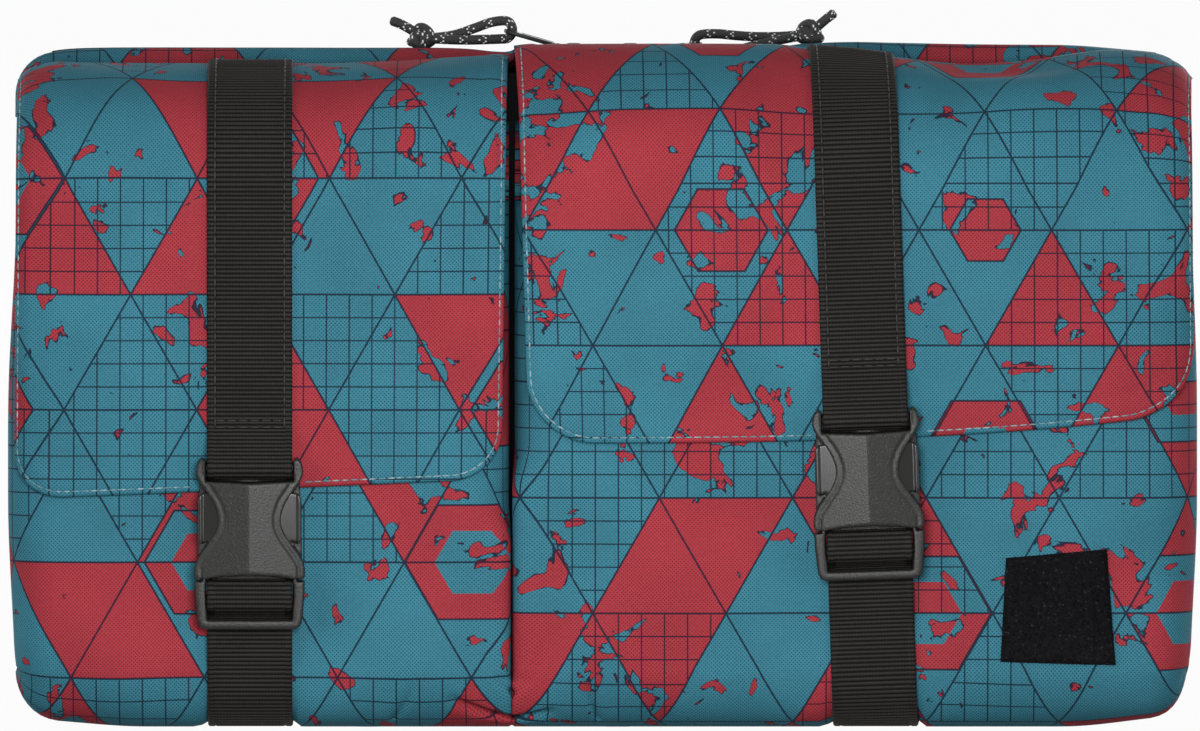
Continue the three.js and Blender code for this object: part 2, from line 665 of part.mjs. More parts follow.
// The flap's webbing ends in a loop on the socket's bar, and the lower webbing is threaded through the plug
function buildWebbing(pocket) {
  const mouth = alongAt(pocket.buckleZ);
  const bar = mouth - BAR_UP;
  const upper = loopOutline({
    start: WEB_THICK,
    stitch: bar - pocket.stitchToBar,
    bar,
    barOffset: BUCKLE_MID,
    barRadius: BAR_RADIUS,
    inner: FLAP_FACE + GAP,
  });
  const flapWebbing = webbingGeometry(upper, onSection, pocket.lean, mouth);
  piece(`${pocket.side}_flap_webbing`, flapWebbing, WEBBING).position.x = pocket.strapX;

  const flat = GAP + WEB_THICK / 2;
  const turn = BAR_RADIUS + GAP + WEB_THICK / 2;
  const slant = turn * Math.SQRT1_2;
  const crossBar = mouth + CROSS_BAR_DROP;
  const belowBar = crossBar + turn;
  const bottomBar = mouth + PLUG_FRAME - PLUG_BOTTOM_BAR / 2;
  const behindBar = BUCKLE_MID - PLUG_DEPTH / 2 - GAP - WEB_THICK / 2 - GAP;
  const tailEnd = bottomBar + WEB_TAIL;
  const end = SECTION_LENGTH - WEB_THICK;
  const route = [
    [tailEnd, flat],
    [bottomBar, flat + GAP],
    [belowBar + WEB_THICK, flat + WEB_THICK / 2],
    [belowBar - WEB_THICK / 2, BUCKLE_MID - turn - WEB_THICK / 2],
    [crossBar, BUCKLE_MID - turn],
    [crossBar - slant, BUCKLE_MID - slant],
    [crossBar - turn, BUCKLE_MID],
    [crossBar - slant, BUCKLE_MID + slant],
    [crossBar, BUCKLE_MID + turn],
    [crossBar + slant, BUCKLE_MID + slant],
    [belowBar + GAP, BUCKLE_MID - GAP],
    [belowBar + WEB_THICK, behindBar + WEB_THICK / 2],
    [bottomBar - PLUG_BOTTOM_BAR / 2, behindBar],
    [tailEnd, behindBar - GAP],
    [tailEnd + WEB_STEP / 2, flat + WEB_THICK],
    [tailEnd + 1.5 * WEB_STEP, flat],
    ...steps(tailEnd + 2.5 * WEB_STEP, end, 6).map((along) => [along, flat]),
    [end, flat],
  ];
  const lowerWebbing = webbingGeometry(ribbonOutline(route, 64), onSection, pocket.lean, mouth);
  piece(`${pocket.side}_lower_webbing`, lowerWebbing, WEBBING).position.x = pocket.strapX;
}

// Curves of the socket's right edge: in from the mouth to the waist, and out again to the ear
function socketCurves() {
  const half = BUCKLE_WIDTH / 2;
  const waist = WAIST / 2;
  const ear = half - EAR_INSET;
  return [
    [half, FLARE_START + WAIST_PULL, waist, WAIST_UP - WAIST_PULL, waist, WAIST_UP],
    [waist, WAIST_UP + 1.3 * WAIST_PULL, ear, EAR_WIDEST - 0.8 * WAIST_PULL, ear, EAR_WIDEST],
  ];
}

function socketOutline() {
  const half = BUCKLE_WIDTH / 2;
  const ear = half - EAR_INSET;
  const inner = ear - EAR_WIDTH;
  const [flare, rise] = socketCurves();
  const face = new THREE.Shape();
  face.moveTo(0, SOCKET_ARCH);
  face.quadraticCurveTo(half / 2, SOCKET_ARCH, half - BUCKLE_EASE, 0);
  face.lineTo(half, BUCKLE_EASE);
  face.lineTo(half, FLARE_START);
  face.bezierCurveTo(...flare);
  face.bezierCurveTo(...rise);
  face.quadraticCurveTo(ear, EAR_TOP, inner + BUCKLE_EASE, EAR_TOP);
  face.lineTo(inner, EAR_TOP - BUCKLE_EASE);
  face.lineTo(inner, SOCKET_HEIGHT);
  face.quadraticCurveTo(0, SOCKET_HEIGHT - SOCKET_SAG, -inner, SOCKET_HEIGHT);
  face.lineTo(-inner, EAR_TOP - BUCKLE_EASE);
  face.lineTo(-inner - BUCKLE_EASE, EAR_TOP);
  face.quadraticCurveTo(-ear, EAR_TOP, -ear, EAR_WIDEST);
  face.bezierCurveTo(-rise[2], rise[3], -rise[0], rise[1], -flare[4], flare[5]);
  face.bezierCurveTo(-flare[2], flare[3], -flare[0], flare[1], -half, FLARE_START);
  face.lineTo(-half, BUCKLE_EASE);
  face.lineTo(-half + BUCKLE_EASE, 0);
  face.quadraticCurveTo(-half / 2, SOCKET_ARCH, 0, SOCKET_ARCH);
  return face;
}

// Height of the socket's face over its mid-plane: a ridge down the middle
function faceHeight(x) {
  return THREE.MathUtils.lerp(SOCKET_RIDGE, SOCKET_EDGE, Math.abs(x) / (BUCKLE_WIDTH / 2));
}

// What is taken off the face along its right edge, which leaves a sloping band
function bandCutter() {
  const half = BUCKLE_WIDTH / 2;
  const [flare, rise] = socketCurves();
  const edge = new THREE.Path();
  edge.moveTo(half, -BUCKLE_EASE);
  edge.lineTo(half, FLARE_START);
  edge.bezierCurveTo(...flare);
  edge.bezierCurveTo(...rise);
  edge.lineTo(half - EAR_INSET, EAR_TOP + BUCKLE_EASE);
  const points = edge.getPoints(6);
  const stations = points.map((point, i) => {
    const behind = points[Math.max(i - 1, 0)];
    const ahead = points[Math.min(i + 1, points.length - 1)];
    const along = ahead.clone().sub(behind).normalize();
    return { point, out: new THREE.Vector2(along.y, -along.x) };
  });
  return sheetGeometry(stations, [BUCKLE_EASE, -EDGE_BAND], (station, reach, face) => {
    const place = station.point.clone().addScaledVector(station.out, reach);
    const slope = reach > 0 ? SOCKET_EDGE - EDGE_BAND_DROP : faceHeight(place.x);
    return new THREE.Vector3(place.x, place.y, face > 0 ? SOCKET_RIDGE + BUCKLE_EASE : slope);
  });
}

// Socket: a waisted box with a ridged face, open at the mouth and at both windows
function socketGeometry() {
  const half = BUCKLE_WIDTH / 2;
  const depth = 2 * (SOCKET_BACK + SOCKET_RIDGE);
  const prism = new THREE.ExtrudeGeometry(socketOutline(), { depth, bevelEnabled: false, curveSegments: 5 });
  prism.translate(0, 0, -depth / 2);

  // Section across the buckle: flat back with eased sides, and the ridge
  const roof = new THREE.Shape();
  roof.moveTo(-half, -SOCKET_BACK + BUCKLE_EASE);
  roof.lineTo(-half + BUCKLE_EASE, -SOCKET_BACK);
  roof.lineTo(half - BUCKLE_EASE, -SOCKET_BACK);
  roof.lineTo(half, -SOCKET_BACK + BUCKLE_EASE);
  roof.lineTo(half, SOCKET_EDGE);
  roof.lineTo(0, SOCKET_RIDGE);
  roof.lineTo(-half, SOCKET_EDGE);
  roof.closePath();
  const length = 2 * EAR_TOP;
  const vault = new THREE.ExtrudeGeometry(roof, { depth: length, bevelEnabled: false });
  vault.rotateX(Math.PI / 2);
  vault.translate(0, length - EAR_TOP / 2, 0);

  const mouth = half - MOUTH_WALL;
  const throat = half - THROAT_WALL;
  const side = half + BUCKLE_EASE;
  const cavity = new THREE.Shape();
  cavity.moveTo(-mouth, -BUCKLE_EASE);
  cavity.lineTo(mouth, -BUCKLE_EASE);
  cavity.lineTo(mouth, PLUG_BASE + GAP);
  cavity.lineTo(throat, PLUG_BASE + GAP + BUCKLE_EASE);
  cavity.lineTo(throat, WINDOW_LOW);
  cavity.lineTo(side, WINDOW_LOW);
  cavity.lineTo(side, WINDOW_HIGH);
  cavity.lineTo(-side, WINDOW_HIGH);
  cavity.lineTo(-side, WINDOW_LOW);
  cavity.lineTo(-throat, WINDOW_LOW);
  cavity.lineTo(-throat, PLUG_BASE + GAP + BUCKLE_EASE);
  cavity.lineTo(-mouth, PLUG_BASE + GAP);
  cavity.closePath();
  const hollow = new THREE.ExtrudeGeometry(cavity, { depth: CAVITY_DEPTH, bevelEnabled: false });
  hollow.translate(0, 0, -CAVITY_DEPTH / 2);

  const bar = barGeometry(BAR_UP, BUCKLE_WIDTH - EAR_WIDTH);
  const cuts = [hollow, bandCutter(), bandCutter().scale(-1, 1, 1)];
  const shell = toSolid(prism).intersect(toSolid(vault));
  const body = cuts.reduce((solid, cut) => solid.subtract(toSolid(cut)), shell);
  return toGeometry(body.add(toSolid(bar)));
}

function barGeometry(height, length) {
  const bar = new THREE.CylinderGeometry(BAR_RADIUS, BAR_RADIUS, length, 10);
  return bar.rotateZ(Math.PI / 2).translate(0, height, 0);
}

// Plug: base in the socket's mouth with a centre guide, and a frame with two bars for the webbing
function plugGeometry() {
  const half = BUCKLE_WIDTH / 2;
  const neck = half - MOUTH_WALL - PLUG_CLEAR;
  const window = half - PLUG_RAIL;
  const plateLow = SOCKET_ARCH + PLUG_CLEAR;
  const foot = half - BUCKLE_ROUND;
  const guide = GUIDE_WIDTH / 2;
  const outline = new THREE.Shape();
  outline.moveTo(-foot, -PLUG_FRAME);
  outline.lineTo(foot, -PLUG_FRAME);
  outline.quadraticCurveTo(half, -PLUG_FRAME, half, -PLUG_FRAME + BUCKLE_ROUND);
  outline.lineTo(half, -PLUG_CLEAR);
  outline.lineTo(neck, -PLUG_CLEAR);
  outline.lineTo(neck, PLUG_BASE);
  outline.lineTo(guide, PLUG_BASE);
  outline.lineTo(guide - BUCKLE_EASE, GUIDE_HEIGHT);
  outline.lineTo(-guide + BUCKLE_EASE, GUIDE_HEIGHT);
  outline.lineTo(-guide, PLUG_BASE);
  outline.lineTo(-neck, PLUG_BASE);
  outline.lineTo(-neck, -PLUG_CLEAR);
  outline.lineTo(-half, -PLUG_CLEAR);
  outline.lineTo(-half, -PLUG_FRAME + BUCKLE_ROUND);
  outline.quadraticCurveTo(-half, -PLUG_FRAME, -foot, -PLUG_FRAME);
  const sill = -PLUG_FRAME + PLUG_BOTTOM_BAR;
  outline.holes.push(roundedOutline(window, sill, plateLow, BUCKLE_EASE, BUCKLE_EASE));
  const options = { depth: PLUG_DEPTH, bevelEnabled: false, curveSegments: 4 };
  const frame = new THREE.ExtrudeGeometry(outline, options).translate(0, 0, -PLUG_DEPTH / 2);
  return joined(frame, barGeometry(-CROSS_BAR_DROP, BUCKLE_WIDTH - PLUG_RAIL));
}

// Spring arm of the plug, on the right: a slim root that widens into the pad in the window
function armGeometry() {
  const root = PLUG_BASE + ARM_ROOT_GAP;
  const inner = ARM_ROOT_X - ARM_WIDTH / 2;
  const outer = ARM_ROOT_X + ARM_WIDTH / 2;
  const foot = WINDOW_LOW + ARM_PLAY;
  const tip = WINDOW_HIGH - ARM_PLAY;
  const shape = new THREE.Shape();
  shape.moveTo(inner, root);
  shape.lineTo(outer, root);
  shape.lineTo(outer, foot);
  shape.lineTo(ARM_PAD - BUCKLE_EASE, foot);
  shape.quadraticCurveTo(ARM_PAD, foot, ARM_PAD, foot + BUCKLE_EASE);
  shape.lineTo(ARM_PAD, tip - ARM_PAD_ROUND);
  shape.quadraticCurveTo(ARM_PAD, tip, ARM_PAD - ARM_PAD_ROUND / 2, tip);
  shape.quadraticCurveTo(inner, tip, inner, (foot + tip) / 2);
  shape.closePath();
  const options = { depth: PLUG_DEPTH, bevelEnabled: false, curveSegments: 4 };
  return new THREE.ExtrudeGeometry(shape, options).translate(0, 0, -PLUG_DEPTH / 2);
}

// Stands a group on a pocket's straight front, at a height and an offset, with its face outwards
function placeOnFront(group, x, height, offset, lean) {
  const along = alongAt(height);
  const spot = onSection(along, offset);
  const out = onSection(along, offset + 1).sub(spot);
  const right = new THREE.Vector3(1, 0, 0);
  const outward = new THREE.Vector3(0, out.x, out.y);
  const up = outward.clone().cross(right);
  group.position.set(x, spot.x, spot.y);
  group.quaternion.setFromRotationMatrix(new THREE.Matrix4().makeBasis(right, up, outward));
  group.rotateZ(lean);
  bag.add(group);
}

function buildBuckle(pocket) {
  const buckle = new THREE.Group();
  placeOnFront(buckle, pocket.strapX, pocket.buckleZ, BUCKLE_MID, pocket.lean);
  piece(`${pocket.side}_buckle_socket`, socketGeometry(), PLASTIC, buckle);
  piece(`${pocket.side}_buckle_plug`, plugGeometry(), PLASTIC, buckle);
  piece(`${pocket.side}_buckle_arm_right`, armGeometry(), PLASTIC, buckle);
  const left = piece(`${pocket.side}_buckle_arm_left`, armGeometry(), PLASTIC, buckle);
  left.rotation.y = Math.PI;
}

function buildPatch() {
  const half = PATCH_SIZE / 2;
  const outline = roundedOutline(half, -half, half, PATCH_CORNER, PATCH_CORNER);
  const options = { depth: PATCH_CLOTH, bevelEnabled: false, curveSegments: 2 };
  const cloth = new THREE.ExtrudeGeometry(outline, options);
  const holder = new THREE.Group();
  placeOnFront(holder, HALF_WIDTH - PATCH_INSET, PATCH_HEIGHT, GAP, 0);
  piece('loop_patch', cloth, FUZZ, holder);
}

// Webbing tab and rectangular ring on the back panel
function buildStrapRing(side, outward) {
  const offset = GAP + WEB_THICK + GAP + RING_WIRE / 2;
  const bar = STRAP_TAB_START + STRAP_TAB_SEWN + STRAP_TAB_FREE;
  const outline = loopOutline({
    start: STRAP_TAB_START,
    stitch: STRAP_TAB_START + STRAP_TAB_SEWN,
    bar,
    barOffset: offset,
    barRadius: RING_WIRE / 2,
    inner: GAP,
  });
  const onBack = (along, lift) => new THREE.Vector2(BACK_Y + lift, BAG_HEIGHT - along);
  const x = outward * (HALF_WIDTH - STRAP_TAB_INSET);
  piece(`strap_tab_${side}`, webbingGeometry(outline, onBack), WEBBING).position.x = x;

  const high = RING_WIRE / 2;
  const low = high - RING_HEIGHT;
  const half = RING_WIDTH / 2;
  const frame = roundedOutline(half, low, high, RING_CORNER, RING_CORNER / 2);
  const innerCorner = RING_CORNER - RING_WIRE;
  const [sill, lintel] = [low + RING_WIRE, high - RING_WIRE];
  frame.holes.push(roundedOutline(half - RING_WIRE, sill, lintel, innerCorner, innerCorner));
  const ring = piece(`strap_ring_${side}`, upright(frame, -RING_WIRE / 2, RING_WIRE / 2, RING_EASE), METAL);
  ring.position.set(x, BACK_Y + offset, BAG_HEIGHT - bar);
}

buildMainCompartment();
buildZip();
buildPull(LEFT_PULL, LEFT_CORD);
buildPull(RIGHT_PULL, RIGHT_CORD);
for (const pocket of [LEFT_POCKET, RIGHT_POCKET]) {
  buildPocket(pocket);
  buildFlap(pocket);
  buildWebbing(pocket);
  buildBuckle(pocket);
}
buildPatch();
buildStrapRing('left', -1);
buildStrapRing('right', 1);

export default bag;
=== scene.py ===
"""Looks of a crossbody bag with two buckled front pockets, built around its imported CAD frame.

Sizes are in millimetres, and become metres where a mesh is added. X runs to the right, the pockets
face -Y and Z is up, as in the frame.
"""

from __future__ import annotations

import logging
import math
from dataclasses import dataclass, field
from enum import Enum
from functools import cached_property
from typing import Callable, Iterable, Sequence

import bpy
import numpy as np
from mathutils import Matrix, Vector

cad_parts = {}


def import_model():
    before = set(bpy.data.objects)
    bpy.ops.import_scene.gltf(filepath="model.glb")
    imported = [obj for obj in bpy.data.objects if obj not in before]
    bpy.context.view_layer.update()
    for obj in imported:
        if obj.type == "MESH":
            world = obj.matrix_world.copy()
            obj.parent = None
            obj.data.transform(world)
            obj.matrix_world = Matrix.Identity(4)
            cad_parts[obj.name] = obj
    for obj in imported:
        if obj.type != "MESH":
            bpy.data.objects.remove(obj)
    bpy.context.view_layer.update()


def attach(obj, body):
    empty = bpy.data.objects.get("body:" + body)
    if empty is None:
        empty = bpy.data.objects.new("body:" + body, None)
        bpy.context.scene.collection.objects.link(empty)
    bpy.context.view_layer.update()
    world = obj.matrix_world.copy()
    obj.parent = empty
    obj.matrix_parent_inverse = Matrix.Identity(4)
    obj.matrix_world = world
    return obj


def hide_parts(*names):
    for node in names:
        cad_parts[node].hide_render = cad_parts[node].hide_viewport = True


log = logging.getLogger("crossbody_bag")

MM = 0.001
GAP = 0.3
CLOTH_UV = "cloth"
UV_UNIT = 100.0
SHADER = "Principled BSDF"
WHITE = (1.0, 1.0, 1.0)
Points = np.ndarray
Faces = list[tuple[int, ...]]
Mesh = tuple[Points, Faces]
Colour = tuple[float, float, float]
Spot = tuple[float, float, float]
Field = Callable[[Points, Points, Points], Points]
Crown = Callable[[Points, Points], Points]


# Meshes


def add_mesh(
    name: str, mesh: Mesh, material: bpy.types.Material, uv: Points | None = None
) -> bpy.types.Object:
    """Add a smooth mesh object to the scene.

    Args:
        name: Object name.
        mesh: Vertices in millimetres, one row each, and vertex numbers of each face.
        material: What the mesh is made of.
        uv: Place of each vertex on its cloth, in millimetres.

    Returns:
        The new object, at the origin.
    """
    points, faces = mesh
    data = bpy.data.meshes.new(name)
    data.from_pydata((np.asarray(points) * MM).tolist(), [], faces)
    data.shade_smooth()
    if uv is not None:
        corner = np.empty(len(data.loops), np.int32)
        data.loops.foreach_get("vertex_index", corner)
        layer = data.uv_layers.new(name=CLOTH_UV)
        layer.data.foreach_set("uv", (uv[corner] / UV_UNIT).astype(np.float32).ravel())
    data.materials.append(material)
    obj = bpy.data.objects.new(name, data)
    bpy.context.scene.collection.objects.link(obj)
    return obj


def add_piece(
    name: str, mesh: Mesh, finish: Finish, body: str, slot: str, *nodes: str, uv: Points | None = None
) -> bpy.types.Object:
    """Add a visible piece on its body, and hide the CAD nodes it stands for.

    Args:
        name: Name of the piece.
        mesh: Its vertices and faces.
        finish: What it is made of.
        body: CAD body it rides on.
        slot: Material slot; not used.
        nodes: CAD nodes that it replaces.
        uv: Place of each vertex on its cloth.

    Returns:
        The piece.
    """
    obj = add_mesh(name, mesh, finish.material, uv)
    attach(obj, body)
    if nodes:
        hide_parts(*nodes)
    log.info("%s rides on %s with %d faces", obj.name, body, len(obj.data.polygons))
    return obj


def stacked(*parts: Points | float) -> Points:
    """Join coordinates into points."""
    return np.stack(np.broadcast_arrays(*parts), axis=-1)


def flipped(faces: Faces) -> Faces:
    """Turn faces inside out."""
    return [tuple(reversed(face)) for face in faces]


def travelled(line: Points) -> Points:
    """Give the distance from a line's start to each of its points."""
    return np.concatenate([[0], np.cumsum(np.linalg.norm(np.diff(line, axis=0), axis=1))])


def headings(line: Points) -> Points:
    """Give the direction of a line at each of its points."""
    ahead = np.gradient(line, axis=0)
    return ahead / np.linalg.norm(ahead, axis=1, keepdims=True)


def bezier(
    a: Sequence[float], b: Sequence[float], c: Sequence[float], d: Sequence[float], count: int = 24
) -> Points:
    """Sample a cubic curve from a to d."""
    t = np.linspace(0, 1, count)[:, None]
    a, b, c, d = (np.array(point, float) for point in (a, b, c, d))
    return (1 - t) ** 3 * a + 3 * t * (1 - t) ** 2 * b + 3 * t * t * (1 - t) * c + t**3 * d


def grid_faces(rows: int, columns: int, start: int = 0, closed: bool = False) -> Faces:
    """List the quads of a grid of vertices.

    Args:
        rows: Vertices down the grid.
        columns: Vertices across it.
        start: Number of the grid's first vertex.
        closed: Whether the last column joins the first.

    Returns:
        Four vertex numbers a quad.
    """
    spans = columns if closed else columns - 1
    faces = []
    for row in range(rows - 1):
        low = start + row * columns
        for column in range(spans):
            after = (column + 1) % columns
            faces.append((low + column, low + columns + column, low + columns + after, low + after))
    return faces


def slab(front: Points, back: Points) -> Mesh:
    """Close the space between two grids of the same shape.

    Args:
        front: Outer face, rows by columns by three.
        back: Inner face.

    Returns:
        Vertices and faces of the closed sheet.
    """
    rows, columns = front.shape[:2]
    behind = rows * columns
    faces = grid_faces(rows, columns)
    faces += flipped(grid_faces(rows, columns, behind))
    rim = [*range(columns - 1)]
    rim += [row * columns + columns - 1 for row in range(rows - 1)]
    rim += [(rows - 1) * columns + column for column in range(columns - 1, 0, -1)]
    rim += [row * columns for row in range(rows - 1, 0, -1)]
    for here, there in zip(rim, rim[1:] + rim[:1]):
        faces.append((here, there, there + behind, here + behind))
    return np.concatenate([front.reshape(-1, 3), back.reshape(-1, 3)]), faces


def tube(path: Points, radius: float | Points, sides: int = 10) -> Mesh:
    """Sweep a circle along a path, with a frame that never twists.

    Args:
        path: Centre line, in millimetres.
        radius: One radius, or one for each point.
        sides: Vertices round the tube.

    Returns:
        Vertices, ring by ring, and faces with flat ends.
    """
    path = np.asarray(path, float)
    heading = headings(path)
    aside = np.cross(heading[0], (0.31, 0.17, 0.93))
    rings = []
    angles = np.linspace(0, 2 * math.pi, sides, endpoint=False)
    sizes = np.broadcast_to(radius, len(path))
    for spot, ahead, size in zip(path, heading, sizes):
        aside = aside - ahead * aside.dot(ahead)
        aside /= np.linalg.norm(aside)
        across = np.cross(ahead, aside)
        rings.append(spot + size * (np.outer(np.cos(angles), aside) + np.outer(np.sin(angles), across)))
    faces = flipped(grid_faces(len(path), sides, closed=True))
    last = (len(path) - 1) * sides
    faces += [tuple(reversed(range(sides))), tuple(range(last, last + sides))]
    return np.concatenate(rings), faces


def merged(parts: Iterable[Mesh]) -> Mesh:
    """Put several loose meshes into one list of vertices and faces."""
    points: list[Points] = []
    faces: Faces = []
    count = 0
    for part_points, part_faces in parts:
        points.append(part_points)
        faces += [tuple(number + count for number in face) for face in part_faces]
        count += len(part_points)
    return np.concatenate(points), faces


def spline(points: Sequence[Sequence[float]], count: int) -> Points:
    """Run a Catmull-Rom line through some points.

    Args:
        points: What the line passes through.
        count: How many points to return.

    Returns:
        Points evenly spaced along the line.
    """
    knots = np.asarray(points, float)
    padded = np.vstack([2 * knots[0] - knots[1], knots, 2 * knots[-1] - knots[-2]])
    share = np.linspace(0, len(knots) - 1, 40 * len(knots))
    span = np.minimum(share.astype(int), len(knots) - 2)
    t = (share - span)[:, None]
    a, b, c, d = (padded[span + step] for step in range(4))
    line = b + 0.5 * t * (c - a + t * (2 * a - 5 * b + 4 * c - d + t * (3 * (b - c) + d - a)))
    return resampled(line, count)


def resampled(line: Points, count: int) -> Points:
    """Space points evenly along a line.

    Args:
        line: Points of the line.
        count: How many points to return.

    Returns:
        Points with equal steps between them.
    """
    run = travelled(line)
    at = np.linspace(0, run[-1], count)
    return stacked(*(np.interp(at, run, axis) for axis in line.T))


def length_of(line: Points) -> float:
    """Measure a line."""
    return float(np.linalg.norm(np.diff(line, axis=0), axis=1).sum())


def ease(low: float, high: float, value: Points | float) -> Points:
    """Rise smoothly from 0 at low to 1 at high."""
    share = np.clip((np.asarray(value, float) - low) / (high - low), 0, 1)
    return share * share * (3 - 2 * share)


def rounded(value: Points) -> Points:
    """Rise from 0 to 1 like a quarter of a circle."""
    return np.sqrt(np.clip(1 - (1 - np.clip(value, 0, 1)) ** 2, 0, 1))


def ripples(across: Points, along: Points, seed: int, pitch: float) -> Points:
    """Give the gentle unevenness of cloth.

    Args:
        across: Places over the cloth, in millimetres.
        along: Places down it.
        seed: Picks the pattern.
        pitch: Typical distance between swells.

    Returns:
        Heights of about -1 to 1.
    """
    random = np.random.default_rng(seed)
    total = np.zeros(np.broadcast(across, along).shape)
    for _ in range(7):
        angle, phase, size = random.uniform(0, 2 * math.pi, 2).tolist() + [random.uniform(0.6, 1.6)]
        wave = (across * math.cos(angle) + along * math.sin(angle)) / (pitch * size)
        total += np.sin(2 * math.pi * wave + phase)
    return total / 4


# Moulded solids, as fields that are negative inside


def polygon_field(outline: Points, across: Points, up: Points) -> Points:
    """Measure how far each place is from a polygon.

    Args:
        outline: Corners of the polygon.
        across: First coordinate of each place.
        up: Second coordinate.

    Returns:
        Distances, negative inside.
    """
    inside = np.zeros(across.shape, bool)
    for (ax, ay), (bx, by) in zip(outline, np.roll(outline, -1, axis=0)):
        crosses = (ay > up) != (by > up)
        if by != ay:
            inside ^= crosses & (across < (bx - ax) * (up - ay) / (by - ay) + ax)
    away = line_field(np.vstack([outline, outline[:1]]), across, up)
    return np.where(inside, -away, away)


def line_field(line: Points, across: Points, up: Points) -> Points:
    """Measure how far each place is from a line through some points."""
    nearest = np.full(across.shape, np.inf)
    for (ax, ay), (bx, by) in zip(line[:-1], line[1:]):
        dx, dy = bx - ax, by - ay
        share = np.clip(((across - ax) * dx + (up - ay) * dy) / (dx * dx + dy * dy + 1e-12), 0, 1)
        nearest = np.minimum(nearest, np.hypot(across - ax - share * dx, up - ay - share * dy))
    return nearest


def prism(outline: Points, across: Points, up: Points) -> Points:
    """Measure how far each place of a block is from a prism on an outline, negative inside."""
    return polygon_field(outline, across[:, :, 0], up[:, :, 0])[:, :, None]


def mirrored(right: Sequence[Sequence[float]]) -> Points:
    """Close an outline from its right half, which runs upwards."""
    half = np.array(right, float)
    return np.concatenate([half, half[::-1] * (-1, 1)])


def within(radius: float, *fields: Points) -> Points:
    """Keep what is inside every field, with edges eased to a radius."""
    result = fields[0]
    for other in fields[1:]:
        blend = np.maximum(radius - np.abs(result - other), 0) / radius
        result = np.maximum(result, other) + radius * blend * blend / 4
    return result


def moulded(shape: Field, low: Sequence[float], high: Sequence[float], pitch: float) -> Mesh:
    """Turn a field into a mesh of quads, with a vertex in each cell that its surface crosses.

    Args:
        shape: Field of three coordinates.
        low: Lowest corner to look at, in millimetres.
        high: Highest corner.
        pitch: Size of a cell.

    Returns:
        Vertices and faces that point outwards.
    """
    axes = [np.arange(a - 2 * pitch, b + 3 * pitch, pitch) for a, b in zip(low, high)]
    values = shape(*np.meshgrid(*axes, indexing="ij"))
    cells = tuple(count - 1 for count in values.shape)
    total = np.zeros((*cells, 3))
    hits = np.zeros(cells)
    for axis in range(3):
        ahead = np.moveaxis(values, axis, 0)
        share = ahead[:-1] / (ahead[:-1] - ahead[1:] + 1e-12)
        crossed = (ahead[:-1] < 0) != (ahead[1:] < 0)
        for second in (0, 1):
            for third in (0, 1):
                pick = (slice(None), *(slice(1, None) if s else slice(None, -1) for s in (second, third)))
                hit = np.moveaxis(crossed[pick], 0, axis)
                place = np.zeros((*cells, 3))
                place[..., axis] = np.moveaxis(share[pick], 0, axis)
                others = [other for other in range(3) if other != axis]
                place[..., others[0]] = second
                place[..., others[1]] = third
                total += np.where(hit[..., None], place, 0)
                hits += hit
    used = np.argwhere(hits > 0)
    number = np.full(cells, -1)
    number[tuple(used.T)] = np.arange(len(used))
    inner = total[tuple(used.T)] / hits[tuple(used.T)][:, None]
    points = np.array([axis[0] for axis in axes]) + (used + inner) * pitch
    faces: Faces = []
    for axis in range(3):
        ahead = np.moveaxis(values, axis, 0)
        numbers = np.moveaxis(number, axis, 0)
        negative = ahead < 0
        crossed = (negative[:-1] != negative[1:])[:, 1:-1, 1:-1]
        spots = np.argwhere(crossed)
        if len(spots) == 0:
            continue
        i, j, k = spots[:, 0], spots[:, 1] + 1, spots[:, 2] + 1
        corners = ((-1, -1), (0, -1), (0, 0), (-1, 0))
        quad = stacked(*(numbers[i, j + a, k + b] for a, b in corners))
        leaving = negative[i, j, k] != (axis == 1)
        quad = np.where(leaving[:, None], quad, quad[:, ::-1])
        faces += [tuple(row) for row in quad.tolist()]
    return points, faces


# Shading


class Wire:
    """A socket in a node tree that can be reckoned with like a number."""

    def __init__(self, graph: Graph, socket: bpy.types.NodeSocket) -> None:
        """Hold a socket of a graph."""
        self.graph = graph
        self.socket = socket

    def __add__(self, other: Wire | float) -> Wire:
        """Add."""
        return self.graph.math("ADD", self, other)

    def __sub__(self, other: Wire | float) -> Wire:
        """Take away."""
        return self.graph.math("SUBTRACT", self, other)

    def __rsub__(self, other: float) -> Wire:
        """Take this away from a number."""
        return self.graph.math("SUBTRACT", other, self)

    def __mul__(self, other: Wire | float) -> Wire:
        """Multiply."""
        return self.graph.math("MULTIPLY", self, other)

    __radd__ = __add__
    __rmul__ = __mul__


